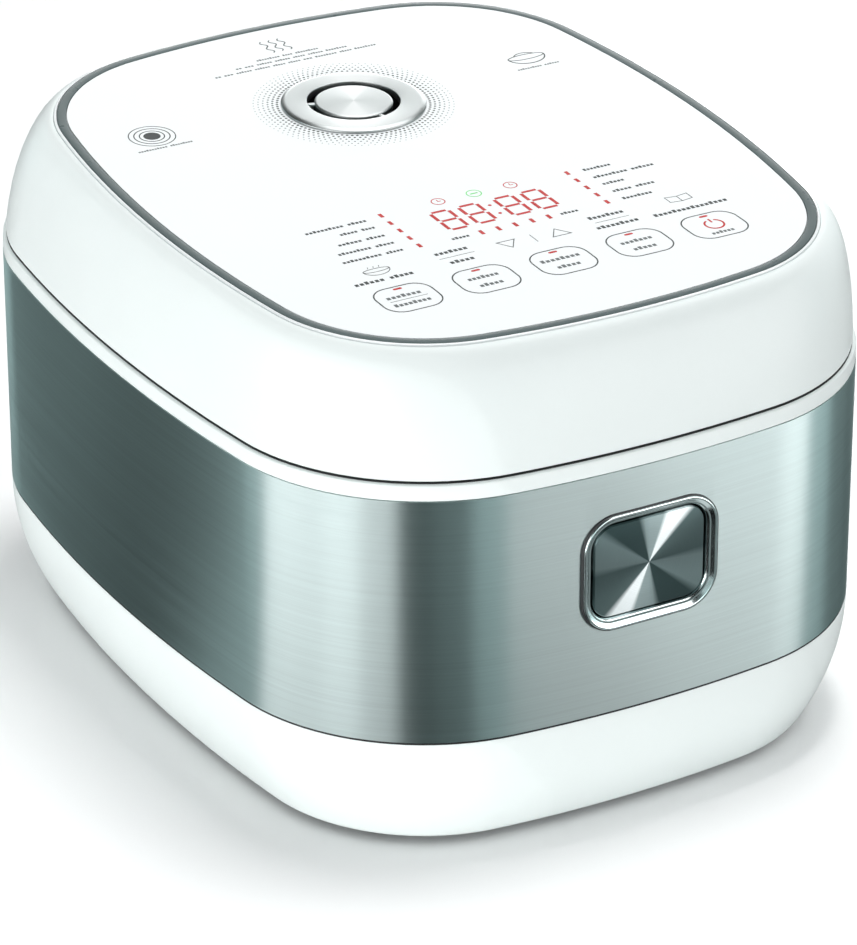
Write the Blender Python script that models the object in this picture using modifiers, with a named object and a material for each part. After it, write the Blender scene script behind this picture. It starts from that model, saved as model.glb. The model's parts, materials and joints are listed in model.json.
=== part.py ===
"""Induction rice cooker with a hinged lid, modelled whole, inside and out.

Metres, +Z up. The origin is on the floor under the middle of the body, the front faces -Y.
Every plan outline is a "soft rectangle": four tangent arcs a quarter, so that an outline
inset by a constant distance keeps its arc centres.
"""
from math import atan, atan2, cos, pi, radians, sin

import bmesh
import bpy
from mathutils import Matrix, Vector

# ---------------------------------------------------------------- driving dimensions (metres)
# Outlines: half width, half depth, side arc radius, front arc radius, corner radius.
BODY = (0.1450, 0.1832, 0.7981, 0.5239, 0.0894)
PANEL = (0.1290, 0.1559, 0.5690, 0.4214, 0.0707)
PANEL_Y = -0.0086          # middle of the panel
PANEL_TILT = 0.031         # rise of the panel per metre towards the back

Z_BASE = 0.0040            # underside of the base
Z_STEEL_LOW = 0.0553
Z_STEEL_TOP = 0.1615
Z_SEAM = 0.1685            # top of the deck's rim, where the lid meets it
Z_PANEL = 0.2246           # top of the panel at its middle

GAP = 0.0003               # air left between neighbouring pieces
STEEL = 0.0018             # thickness of the steel band
WALL = 0.0028              # thickness of the moulded walls
BASE_TUCK = 0.0150         # how far the base curves in at the floor
SEAM_INSET = 0.0016

HINGE = Vector((0.0, 0.1740, 0.1715))
HINGE_PIN_R = 0.0020
BARREL_R = 0.0074
BARREL_HALF = 0.0552

POT = Vector((0.0, -0.0120, 0.0))
POT_R = 0.1040
POT_FLANGE_R = 0.1130
POT_TOP = 0.1663
POT_BOTTOM = 0.0360
DECK_FLOOR = 0.1640
DECK_UNDER = 0.1580
DECK_HOLE_R = 0.1070
WELL_R = 0.1100

VENT_Y = 0.0560
VENT_R = 0.0306

BUTTON = Vector((0.0, 0.0, 0.1180))
BUTTON_W, BUTTON_H, BUTTON_R = 0.0510, 0.0402, 0.0085
STEM_Z = 0.1174
BEZEL_FRONT = -0.1845
BUTTON_FACE = -0.1826
LEVER = Vector((0.0, -0.1580, 0.1410))

FAN = Vector((-0.0400, 0.1270, 0.0080))
KEY_PITCH, KEY_Y = 0.0353, -0.1151
INLET_X = 0.0400

ROUND = 32                 # sides of a large turned piece
SIDE_STEPS, CORNER_STEPS, FRONT_STEPS = 2, 6, 2

# The lid's flank: (1 - s) ** P + t ** Q = 1 for height t and inset s, front and sides, then back.
FLANK = (2.35, 1.73)
BACK = (1.31, 1.40)


# ---------------------------------------------------------------- scene and materials
for old in list(bpy.data.objects):
    bpy.data.objects.remove(old, do_unlink=True)

PARTS = bpy.data.collections.new("rice_cooker")
CUTTERS = bpy.data.collections.new("cutters")
for group in (PARTS, CUTTERS):
    bpy.context.scene.collection.children.link(group)


def material(name, colour, roughness, metallic=0.0):
    """Principled material with the given colour, roughness and metallic value."""
    found = bpy.data.materials.get(name)
    if found:
        return found
    made = bpy.data.materials.new(name)
    made.use_nodes = True
    shader = made.node_tree.nodes["Principled BSDF"]
    shader.inputs["Base Color"].default_value = (*colour, 1.0)
    shader.inputs["Roughness"].default_value = roughness
    shader.inputs["Metallic"].default_value = metallic
    made.diffuse_color = (*colour, 1.0)
    return made


WHITE = material("white_gloss", (0.86, 0.90, 0.89), 0.18)
PANEL_WHITE = material("panel_white", (0.90, 0.95, 0.94), 0.08)
GREY_TRIM = material("grey_trim", (0.20, 0.24, 0.23), 0.25)
BRUSHED = material("brushed_steel", (0.50, 0.53, 0.52), 0.30, 1.0)
CHROME = material("chrome", (0.80, 0.82, 0.82), 0.08, 1.0)
SPUN = material("spun_steel", (0.62, 0.65, 0.64), 0.22, 1.0)
BUTTON_METAL = material("button_metal", (0.20, 0.22, 0.22), 0.20, 1.0)
ALUMINIUM = material("aluminium", (0.72, 0.73, 0.73), 0.35, 1.0)
POT_METAL = material("pot_coating", (0.13, 0.12, 0.12), 0.35, 0.4)
COPPER = material("copper_wire", (0.70, 0.32, 0.16), 0.35, 1.0)
FERRITE = material("ferrite", (0.05, 0.05, 0.055), 0.70)
BLACK = material("black_plastic", (0.03, 0.03, 0.032), 0.45)
GREY = material("grey_plastic", (0.42, 0.44, 0.44), 0.45)
CIRCUIT = material("circuit_board", (0.04, 0.22, 0.10), 0.45)
RUBBER = material("silicone", (0.66, 0.68, 0.66), 0.60)
FOOT = material("foot_rubber", (0.06, 0.06, 0.06), 0.80)
DISPLAY = material("display_red", (0.55, 0.03, 0.03), 0.35)
SPRING = material("spring_steel", (0.60, 0.60, 0.60), 0.30, 1.0)


# ---------------------------------------------------------------- making meshes
def add_object(name, data, mat, collection=None):
    made = bpy.data.objects.new(name, data)
    (collection or PARTS).objects.link(made)
    if mat:
        data.materials.append(mat)
    return made


def finish(name, bm, mat, smooth=35.0, collection=None):
    """Turn a bmesh into a named object, faces pointing out and round stretches smooth."""
    bmesh.ops.recalc_face_normals(bm, faces=bm.faces)
    mesh = bpy.data.meshes.new(name)
    bm.to_mesh(mesh)
    bm.free()
    mesh.shade_smooth()
    mesh.set_sharp_from_angle(angle=radians(smooth))
    return add_object(name, mesh, mat, collection)


def box_into(bm, low, high, bevel=0.0, along=2, segments=3):
    """Box between two corners; its edges parallel to one axis can be rounded."""
    low, high = Vector(low), Vector(high)
    made = bmesh.ops.create_cube(bm, size=1.0)["verts"]
    size = high - low
    bmesh.ops.scale(bm, vec=size, verts=made)
    bmesh.ops.translate(bm, vec=(low + high) / 2, verts=made)
    if bevel:
        edges = {e for v in made for e in v.link_edges}
        run = [e for e in edges
               if abs((e.verts[0].co - e.verts[1].co).normalized()[along]) > 0.99]
        bmesh.ops.bevel(bm, geom=run, offset=bevel, segments=segments, affect="EDGES",
                        profile=0.5, clamp_overlap=True)


def boxes(name, pairs, mat, collection=None):
    bm = bmesh.new()
    for low, high in pairs:
        box_into(bm, low, high)
    return finish(name, bm, mat, collection=collection)


def rounded_box(name, low, high, radius, mat, along=2, segments=4, collection=None):
    bm = bmesh.new()
    box_into(bm, low, high, radius, along, segments)
    return finish(name, bm, mat, collection=collection)


def rod(name, start, end, radius, mat, sides=16, collection=None):
    """Cylinder from start to end."""
    start, end = Vector(start), Vector(end)
    bm = bmesh.new()
    bmesh.ops.create_cone(bm, cap_ends=True, segments=sides, radius1=radius, radius2=radius,
                          depth=(end - start).length)
    turn = (end - start).to_track_quat("Z", "Y").to_matrix().to_4x4()
    bmesh.ops.transform(bm, matrix=Matrix.Translation((start + end) / 2) @ turn, verts=bm.verts)
    return finish(name, bm, mat, collection=collection)


def turned(name, profile, mat, at=(0, 0, 0), steps=ROUND, collection=None):
    """Closed (radius, height) profile swept about Z by a Screw modifier."""
    area = sum(a[0] * b[1] - b[0] * a[1] for a, b in zip(profile, profile[1:] + profile[:1]))
    points = profile if area < 0 else profile[::-1]
    bm = bmesh.new()
    verts = [bm.verts.new((r, 0.0, z)) for r, z in points]
    for first, second in zip(verts, verts[1:] + verts[:1]):
        if first.co.x > 1e-6 or second.co.x > 1e-6:
            bm.edges.new((first, second))
    mesh = bpy.data.meshes.new(name)
    bm.to_mesh(mesh)
    bm.free()
    made = add_object(name, mesh, mat, collection)
    screw = made.modifiers.new("turn", "SCREW")
    screw.steps = screw.render_steps = steps
    screw.use_merge_vertices = True
    screw.merge_threshold = 0.00005
    made.location = at
    return made


def coil_spring(name, start, end, radius, wire, turns, mat):
    """Helical wire along the line from start to end."""
    start, end = Vector(start), Vector(end)
    turn = (end - start).to_track_quat("Z", "Y").to_matrix()
    per_turn = 8
    count = turns * per_turn + 1
    length = (end - start).length - 2 * wire
    curve = bpy.data.curves.new(name, "CURVE")
    curve.dimensions = "3D"
    curve.bevel_depth = wire
    curve.bevel_resolution = 1
    curve.use_fill_caps = True
    line = curve.splines.new("POLY")
    line.points.add(count - 1)
    for i in range(count):
        angle = 2 * pi * i / per_turn
        spot = Vector((radius * cos(angle), radius * sin(angle), wire + length * i / (count - 1)))
        line.points[i].co = (*(start + turn @ spot), 1.0)
    return add_object(name, curve, mat)


# ---------------------------------------------------------------- outlines and lofts
def outline(shape, inset=0.0, y=0.0):
    """Soft rectangle as a closed list of (x, y), the same count for every shape."""
    a, b, side, front, corner = (value - inset for value in shape)
    c_side, c_front = Vector((a - side, 0.0)), Vector((0.0, b - front))
    d_side, d_front = side - corner, front - corner
    across = c_front - c_side
    span = across.length
    k = (d_side ** 2 - d_front ** 2 + span ** 2) / (2 * span)
    h = max(d_side ** 2 - k ** 2, 0.0) ** 0.5
    unit = across / span
    c_corner = c_side + k * unit + h * Vector((-unit.y, unit.x))
    turn1 = atan2(c_corner.y - c_side.y, c_corner.x - c_side.x)
    turn2 = atan2(c_corner.y - c_front.y, c_corner.x - c_front.x)
    arcs = ((c_side, side, 0.0, turn1, SIDE_STEPS), (c_corner, corner, turn1, turn2, CORNER_STEPS),
            (c_front, front, turn2, pi / 2, FRONT_STEPS))
    quarter = [(a, 0.0)]
    for centre, radius, begin, end, steps in arcs:
        for i in range(1, steps + 1):
            angle = begin + (end - begin) * i / steps
            quarter.append((centre.x + radius * cos(angle), centre.y + radius * sin(angle)))
    half = quarter + [(-px, py) for px, py in quarter[-2::-1]]
    return [(px, py + y) for px, py in half + [(px, -py) for px, py in half[-2:0:-1]]]


def level(shape, inset, z, y=0.0, tilt=0.0):
    """One ring of a loft, flat at height z or tilted about its middle."""
    return [(px, py, z + tilt * (py - y)) for px, py in outline(shape, inset, y)]


def body_ring(inset, z):
    return level(BODY, inset, z)


def panel_ring(inset, drop):
    """Ring around the panel, DROP below its top face."""
    return level(PANEL, inset, Z_PANEL - drop, PANEL_Y, PANEL_TILT)


def loft(name, rings, mat, hollow=False, collection=None):
    """Skin through rings of one count: capped at both ends, or closed on itself when hollow."""
    bm = bmesh.new()
    loops = [[bm.verts.new(point) for point in ring] for ring in rings]
    pairs = list(zip(loops, loops[1:])) + ([(loops[-1], loops[0])] if hollow else [])
    for lower, upper in pairs:
        count = len(lower)
        for i in range(count):
            j = (i + 1) % count
            bm.faces.new((lower[i], lower[j], upper[j], upper[i]))
    if not hollow:
        bm.faces.new(loops[0])
        bm.faces.new(loops[-1])
    return finish(name, bm, mat, smooth=30.0, collection=collection)


# ---------------------------------------------------------------- cutting and placing
def boolean(target, tool, operation):
    """Apply TOOL to TARGET with an exact Boolean, and keep the tool as a hidden guide."""
    modifier = target.modifiers.new(tool.name, "BOOLEAN")
    modifier.operation = operation
    modifier.solver = "EXACT"
    modifier.object = tool
    tool.hide_render = True
    tool.display_type = "WIRE"
    return target


def cut(target, tool):
    return boolean(target, tool, "DIFFERENCE")


def join(target, tool):
    return boolean(target, tool, "UNION")


def guide(build, name, *args, **keys):
    """Build a cutter or joiner with one of the helpers above, in the cutters collection."""
    return build(name, *args, mat=None, collection=CUTTERS, **keys)


def empty(name, at, parent=None, turn=None):
    made = bpy.data.objects.new(name, None)
    made.empty_display_size = 0.02
    PARTS.objects.link(made)
    made.matrix_world = Matrix.Translation(at) @ (turn or Matrix.Identity(4))
    if parent:
        adopt(parent, made)
    return made


def adopt(parent, *children):
    """Parent pieces to an empty on their joint's axis without moving them."""
    bpy.context.view_layer.update()
    for child in children:
        child.parent = parent
        child.matrix_parent_inverse = parent.matrix_world.inverted()


def panel_z(y):
    return Z_PANEL + PANEL_TILT * (y - PANEL_Y)


def panel_frame(y=0.0, x=0.0):
    """Axes on the panel's top face at (x, y), with Z along its normal."""
    return Matrix.Translation((x, y, panel_z(y))) @ Matrix.Rotation(atan(PANEL_TILT), 4, "X")


def onto_panel(made, y=0.0, x=0.0):
    made.matrix_world = panel_frame(y, x)
    return made


# ---------------------------------------------------------------- the body's shell
def base_inset(t):
    """How far the base has curved in at depth t, from 0 under the steel to 1 at the floor."""
    return BASE_TUCK * t * t


def base_z(t):
    return Z_STEEL_LOW - GAP + (Z_BASE - Z_STEEL_LOW + GAP) * t


def corner_posts():
    """Where the four screw posts stand, just inside the base's corners."""
    reach = 0.0670 * cos(pi / 4)
    return [(sx * (0.0497 + reach), sy * (0.0906 + reach)) for sy in (-1, 1) for sx in (-1, 1)]


def make_base_housing():
    sleeve_out, sleeve_in = STEEL + GAP, STEEL + GAP + WALL
    depths = (0.36, 0.66, 0.88, 0.97)
    rings = [body_ring(sleeve_out, DECK_UNDER - GAP), body_ring(sleeve_out, Z_STEEL_LOW - GAP),
             body_ring(0.0, Z_STEEL_LOW - GAP)]
    rings += [body_ring(base_inset(t), base_z(t)) for t in depths]
    rings += [body_ring(BASE_TUCK + 0.0008, Z_BASE), body_ring(BASE_TUCK + WALL, Z_BASE)]
    rings += [body_ring(base_inset(t) + WALL, base_z(t)) for t in reversed(depths[:-1])]
    rings += [body_ring(sleeve_in, Z_STEEL_LOW + 0.002), body_ring(sleeve_in, DECK_UNDER - GAP)]
    housing = loft("base_housing", rings, WHITE, hollow=True)
    for i, (x, y) in enumerate(corner_posts()):
        join(housing, guide(rod, f"post_{i}", (x, y, 0.0070), (x, y, 0.0300), 0.0080, sides=12))
    for i, (x, y) in enumerate(corner_posts()):
        cut(housing, guide(rod, f"post_bore_{i}", (x, y, 0.0060), (x, y, 0.0200), 0.0017, sides=10))
    cut(housing, guide(rounded_box, "housing_button_hole", (-0.0288, -0.2000, BUTTON.z - 0.0234),
                       (0.0288, -0.1700, BUTTON.z + 0.0234), 0.0114, along=1))
    cut(housing, guide(rounded_box, "housing_inlet_hole", (INLET_X - 0.0173, 0.1500, 0.0207),
                       (INLET_X + 0.0173, 0.2000, 0.0473), 0.0020, along=1))
    return housing


def make_bottom_cover():
    cover = loft("bottom_cover", [body_ring(BASE_TUCK + WALL + GAP, Z_BASE + 0.0002),
                                  body_ring(BASE_TUCK + WALL + GAP, Z_BASE + 0.0025)], GREY)
    bars = [((FAN.x - 0.022, y - 0.0018, 0.0), (FAN.x + 0.022, y + 0.0018, 0.01))
            for y in (FAN.y + 0.0080 * i for i in range(-2, 3))]
    bars += [((x - 0.0017, -0.145, 0.0), (x + 0.0017, -0.105, 0.01))
             for x in (0.0400 + 0.0080 * i for i in range(5))]
    cut(cover, guide(boxes, "cover_slots", bars))
    for i, (x, y) in enumerate(corner_posts()):
        cut(cover, guide(rod, f"cover_bore_{i}", (x, y, 0.0), (x, y, 0.01), 0.0020, sides=10))
    return cover


def make_feet_and_screws():
    for tag, sx, sy in (("fl", -1, -1), ("fr", 1, -1), ("rl", -1, 1), ("rr", 1, 1)):
        turned(f"foot_{tag}", [(0.0, 0.0), (0.0075, 0.0), (0.0090, 0.0012), (0.0095, 0.0039), (0.0, 0.0039)],
               FOOT, at=(sx * 0.088, sy * 0.112, 0.0), steps=16)
    for i, (x, y) in enumerate(corner_posts()):
        turned(f"base_screw_{i + 1}", [(0.0, 0.0), (0.0024, 0.0), (0.0032, 0.0008), (0.0032, 0.0014),
                                       (0.0014, 0.0014), (0.0014, 0.0110), (0.0, 0.0110)],
               SPRING, at=(x, y, 0.0025), steps=10)


def make_steel_band():
    band = loft("steel_band", [body_ring(0.0, Z_STEEL_LOW), body_ring(0.0, Z_STEEL_TOP),
                               body_ring(STEEL, Z_STEEL_TOP), body_ring(STEEL, Z_STEEL_LOW)],
                BRUSHED, hollow=True)
    return cut(band, guide(rounded_box, "band_button_hole", (-0.0290, -0.2000, BUTTON.z - 0.0236),
                           (0.0290, -0.1700, BUTTON.z + 0.0236), 0.0116, along=1))


def make_top_deck():
    rim = [body_ring(STEEL + GAP, DECK_UNDER), body_ring(STEEL + GAP, Z_STEEL_TOP + GAP),
           body_ring(0.0001, Z_STEEL_TOP + GAP), body_ring(0.0003, Z_SEAM - 0.0020),
           body_ring(0.0008, Z_SEAM - 0.0006), body_ring(SEAM_INSET, Z_SEAM),
           body_ring(0.0080, Z_SEAM), body_ring(0.0090, DECK_FLOOR)]
    deck = loft("top_deck", rim, WHITE)
    hole = guide(rod, "deck_pot_hole", (POT.x, POT.y, 0.15), (POT.x, POT.y, 0.18), DECK_HOLE_R, sides=ROUND)
    cut(deck, hole)
    cut(deck, guide(boxes, "deck_hinge_notch", [((-0.080, 0.1655, 0.1622), (0.080, 0.20, 0.18))]))
    cut(deck, guide(boxes, "deck_latch_slot", [((-0.0085, -0.1680, 0.15), (0.0085, -0.1460, 0.17))]))
    for side in (-1, 1):
        x0, x1 = side * (BARREL_HALF + 0.0006), side * (BARREL_HALF + 0.0066)
        ear = guide(boxes, f"ear_stem_{side}", [((min(x0, x1), 0.1705, 0.1600),
                                                 (max(x0, x1), 0.1775, HINGE.z))])
        join(deck, ear)
        join(deck, guide(rod, f"ear_eye_{side}", (x0, HINGE.y, HINGE.z), (x1, HINGE.y, HINGE.z), 0.0040,
                         sides=20))
    return cut(deck, guide(rod, "ear_bore", (-0.07, HINGE.y, HINGE.z), (0.07, HINGE.y, HINGE.z),
                           HINGE_PIN_R + GAP))


def make_hinge_pin():
    half = BARREL_HALF + 0.0060
    return rod("hinge_pin", (-half, HINGE.y, HINGE.z), (half, HINGE.y, HINGE.z), HINGE_PIN_R, SPRING)


# ---------------------------------------------------------------- pot, coils and electrics
def make_inner_pot():
    r, t, low, top = POT_R, 0.0020, POT_BOTTOM, POT_TOP
    bend = 0.026
    arc_out = [(r - bend + bend * sin(a), low + bend - bend * cos(a)) for a in
               (radians(22.5 * i) for i in range(4, -1, -1))]
    arc_in = [(r - bend + (bend - t) * sin(a), low + bend - (bend - t) * cos(a)) for a in
              (radians(22.5 * i) for i in range(0, 5))]
    profile = [(r - t, top), (POT_FLANGE_R, top), (POT_FLANGE_R + 0.0004, top - 0.0010),
               (POT_FLANGE_R, top - 0.0020), (r, top - 0.0020)]
    profile += arc_out + [(0.0, low), (0.0, low + t)] + arc_in
    return turned("inner_pot", profile, POT_METAL, at=POT)


def make_pot_well():
    r, t, low = WELL_R, 0.0014, 0.0323
    return turned("pot_well", [(r, DECK_UNDER - GAP), (r, low + 0.024), (r - 0.007, low + 0.007),
                               (r - 0.026, low),
                               (0.0215, low), (0.0215, low + t), (r - 0.0265, low + t),
                               (r - 0.0080, low + 0.008), (r - t, low + 0.0245), (r - t, DECK_UNDER - GAP)],
                  ALUMINIUM, at=POT)


def make_coils():
    """Two windings under the pot, on a carrier with four ferrite bars below it."""
    turned("coil_carrier", [(0.096, 0.0242), (0.096, 0.0270), (0.0222, 0.0270), (0.0222, 0.0242)], BLACK,
           at=POT)
    for name, inner, outer, turns in (("coil_inner", 0.028, 0.050, 3), ("coil_outer", 0.054, 0.080, 3)):
        pitch = (outer - inner) / turns
        crest = []
        for i in range(turns):
            crest += [(inner + pitch * i, 0.0294), (inner + pitch * (i + 0.5), 0.0316)]
        turned(name, crest + [(outer, 0.0294), (outer, 0.0273), (inner, 0.0273)], COPPER, at=POT, steps=24)
    for i in range(4):
        bar = rounded_box(f"ferrite_{i + 1}", (0.030, -0.0070, 0.0189), (0.084, 0.0070, 0.0239), 0.0015,
                          FERRITE,
                          segments=1)
        bar.matrix_world = Matrix.Translation(POT) @ Matrix.Rotation(radians(45 + 90 * i), 4, "Z")


def make_sensor():
    """Spring-loaded temperature sensor that touches the middle of the pot."""
    top = POT_BOTTOM - GAP
    cap = turned("sensor_cap", [(0.0, top), (0.0155, top), (0.0165, top - 0.0010), (0.0165, top - 0.0070),
                                (0.0060, top - 0.0070), (0.0060, 0.0150), (0.0, 0.0150)], ALUMINIUM,
                 at=POT, steps=24)
    turned("sensor_guide", [(0.0195, 0.0100), (0.0195, 0.0310), (0.0175, 0.0310), (0.0175, 0.0120),
                            (0.0066, 0.0120), (0.0066, 0.0100)], BLACK, at=POT, steps=24)
    coil_spring("sensor_spring", POT + Vector((0, 0, 0.0124)), POT + Vector((0, 0, top - 0.0074)),
                0.0110, 0.0006, 3, SPRING)
    adopt(empty("sensor_slide", POT + Vector((0, 0, top))), cap)


def make_fan():
    frame = rounded_box("fan_frame", (FAN.x - 0.030, FAN.y - 0.030, FAN.z), (FAN.x + 0.030, FAN.y + 0.030,
                                                                             FAN.z + 0.018),
                        0.004, BLACK)
    cut(frame, guide(rod, "fan_bore", (FAN.x, FAN.y, FAN.z - 0.01), (FAN.x, FAN.y, FAN.z + 0.03), 0.0275,
                     sides=32))
    spokes = [((FAN.x - 0.0285, FAN.y - 0.0015, FAN.z), (FAN.x + 0.0285, FAN.y + 0.0015, FAN.z + 0.0020)),
              ((FAN.x - 0.0015, FAN.y - 0.0285, FAN.z), (FAN.x + 0.0015, FAN.y + 0.0285, FAN.z + 0.0020))]
    join(frame, guide(boxes, "fan_spoke_x", spokes[:1]))
    join(frame, guide(boxes, "fan_spoke_y", spokes[1:]))
    rotor = rod("fan_rotor", (0, 0, -0.0060), (0, 0, 0.0070), 0.0110, BLACK, sides=24)
    bm = bmesh.new()
    for i in range(7):
        start = len(bm.verts)
        box_into(bm, (0.0080, -0.0006, -0.0050), (0.0262, 0.0006, 0.0050))
        bm.verts.ensure_lookup_table()
        turn = Matrix.Rotation(2 * pi * i / 7, 4, "Z") @ Matrix.Rotation(radians(50), 4, "X")
        bmesh.ops.transform(bm, matrix=turn, verts=bm.verts[start:])
    blades = finish("fan_blades", bm, None, collection=CUTTERS)
    blades.location = rotor.location = FAN + Vector((0, 0, 0.0100))
    return join(rotor, blades)


def make_electrics():
    boxes("power_board", [((0.004, 0.102, 0.0120), (0.086, 0.148, 0.0136))], CIRCUIT)
    sink = boxes("heat_sink", [((0.010, 0.106, 0.0139), (0.046, 0.144, 0.0400))], ALUMINIUM)
    gaps = [((0.0145 + 0.0066 * i, 0.10, 0.0180), (0.0182 + 0.0066 * i, 0.15, 0.05)) for i in range(5)]
    cut(sink, guide(boxes, "sink_gaps", gaps))
    rounded_box("filter_capacitor", (0.054, 0.106, 0.0139), (0.080, 0.118, 0.0330), 0.0015, DISPLAY,
                segments=1)
    turned("choke_coil", [(0.0100, 0.0), (0.0100, 0.0100), (0.0045, 0.0100), (0.0045, 0.0)], COPPER,
           at=(0.067, 0.133, 0.0139), steps=24)


def make_power_inlet():
    """Appliance inlet in a boss on the back of the base: a recess with three pins."""
    x, z = INLET_X, 0.0340
    inlet = rounded_box("power_inlet", (x - 0.0170, 0.1560, z - 0.0130),
                        (x + 0.0170, -BEZEL_FRONT, z + 0.0130),
                        0.0020, BLACK, along=1, segments=2)
    cut(inlet, guide(rounded_box, "inlet_recess", (x - 0.0125, 0.1685, z - 0.0085),
                     (x + 0.0125, 0.2000, z + 0.0085), 0.0030, along=1, segments=2))
    pins = [((x + dx - 0.0010, 0.1650, z + dz - 0.0020), (x + dx + 0.0010, 0.1810, z + dz + 0.0020))
            for dx, dz in ((-0.0070, -0.0020), (0.0, 0.0030), (0.0070, -0.0020))]
    return join(inlet, guide(boxes, "inlet_pins", pins))


# ---------------------------------------------------------------- button and latch
def around_button(half_w, half_h, y0, y1, z=BUTTON.z):
    return ((-half_w, y0, z - half_h), (half_w, y1, z + half_h))


def make_button_bezel():
    """Frame and guide box of the front button, with a back wall for its spring."""
    bezel = rounded_box("button_bezel", *around_button(0.0313, 0.0256, BEZEL_FRONT, -0.1835), 0.0150, CHROME,
                        along=1, segments=6)
    sleeve = around_button(0.0285, 0.0231, BEZEL_FRONT + 0.0004, -0.1645)
    join(bezel, guide(rounded_box, "bezel_sleeve", *sleeve, 0.0112, along=1, segments=6))
    hollow = around_button(0.0263, 0.0209, -0.20, -0.1660)
    cut(bezel, guide(rounded_box, "bezel_hollow", *hollow, 0.0094, along=1, segments=6))
    return cut(bezel, guide(boxes, "bezel_stem_hole", [around_button(0.0055, 0.0055, -0.17, -0.16, STEM_Z)]))


def make_front_button():
    plate_back = BUTTON_FACE + 0.0040
    button = rounded_box("front_button", *around_button(BUTTON_W / 2, BUTTON_H / 2, BUTTON_FACE, plate_back),
                         BUTTON_R, BUTTON_METAL, along=1, segments=6)
    stem = around_button(0.0045, 0.0045, plate_back - 0.001, -0.1610, STEM_Z)
    join(button, guide(boxes, "button_stem", [stem]))
    coil_spring("button_spring", (0, plate_back + 0.0003, STEM_Z), (0, -0.1663, STEM_Z), 0.0085, 0.0005, 3,
                SPRING)
    adopt(empty("button_slide", (0.0, BUTTON_FACE, BUTTON.z)), button)
    return button


def make_latch():
    """Rocking lever: the button pushes its foot back, its hook swings forward off the striker."""
    reach = [(-0.0027, -0.0290), (-0.0027, -0.0237), (-0.0018, -0.0190), (-0.0018, -0.0060), (-0.0040, 0.0),
             (-0.0040, 0.0310), (0.0037, 0.0310), (0.0037, 0.0290), (0.0, 0.0270), (0.0, 0.0040),
             (0.0040, 0.0),
             (0.0020, -0.0040), (0.0010, -0.0290)]
    bm = bmesh.new()
    face = bm.faces.new([bm.verts.new((-0.0060, LEVER.y + dy, LEVER.z + dz)) for dy, dz in reach])
    grown = bmesh.ops.extrude_face_region(bm, geom=[face])["geom"]
    bmesh.ops.translate(bm, vec=(0.0120, 0, 0), verts=[g for g in grown if isinstance(g, bmesh.types.BMVert)])
    lever = finish("latch_lever", bm, GREY)
    cut(lever, guide(rod, "lever_bore", (-0.01, LEVER.y, LEVER.z), (0.01, LEVER.y, LEVER.z), 0.0018))
    rod("latch_pin", (-0.0105, LEVER.y, LEVER.z), (0.0105, LEVER.y, LEVER.z), 0.0015, SPRING)
    y0, y1, z0, z1 = LEVER.y - 0.0050, LEVER.y + 0.0080, LEVER.z - 0.0050, DECK_UNDER - GAP
    bracket = boxes("latch_bracket", [((-0.0092, y0, z0), (-0.0072, y1, z1))], GREY)
    join(bracket, guide(boxes, "bracket_right", [((0.0072, y0, z0), (0.0092, y1, z1))]))
    join(bracket, guide(boxes, "bracket_bridge", [((-0.0080, y1 - 0.0030, z0 + 0.008), (0.0080, y1, z1))]))
    cut(bracket, guide(rod, "bracket_bore", (-0.02, LEVER.y, LEVER.z), (0.02, LEVER.y, LEVER.z), 0.0018))
    adopt(empty("latch_pivot", LEVER), lever)


# ---------------------------------------------------------------- the lid
def flank_inset(t, powers):
    """Inset, 0 at the seam to 1 at the panel, where the flank has risen to t of its height."""
    return 1.0 - (1.0 - t ** powers[1]) ** (1.0 / powers[0])


def lid_ring(t, offset=0.0, drop=0.0):
    """Outline of the lid's skin at height t, or OFFSET inside it and DROP below."""
    s_flank, s_back = flank_inset(t, FLANK), flank_inset(t, BACK)
    low = [value - SEAM_INSET for value in BODY]
    high = [value + SEAM_INSET for value in PANEL]
    shape = [a + (b - a) * s_flank for a, b in zip(low, high)]
    back = low[1] + (high[1] + PANEL_Y - low[1]) * s_back
    front = -low[1] + (PANEL_Y - high[1] + low[1]) * s_flank
    shape[1], middle = (back - front) / 2, (back + front) / 2
    z = Z_SEAM + GAP + (Z_PANEL - 0.0008 - Z_SEAM - GAP) * t - drop
    return level(shape, offset, z, middle, PANEL_TILT * t)


def make_lid_shell():
    heights = (0.04, 0.16, 0.34, 0.54, 0.74, 0.89, 0.97, 1.0)
    rings = [body_ring(SEAM_INSET + 0.0006, Z_SEAM + GAP)] + [lid_ring(t) for t in heights]
    rings += [panel_ring(-SEAM_INSET, 0.0037), panel_ring(0.0090, 0.0037), panel_ring(0.0090, 0.0062),
              panel_ring(0.0006, 0.0062)]
    rings += [lid_ring(t, 0.0026, 0.0026 * t) for t in (0.82, 0.52, 0.20)]
    rings += [body_ring(SEAM_INSET + 0.0026, Z_SEAM + GAP)]
    shell = loft("lid_shell", rings, WHITE, hollow=True)
    return cut(shell, guide(boxes, "shell_hinge_notch", [((-0.0626, 0.16, 0.16), (0.0626, 0.20, 0.1793))]))


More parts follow.
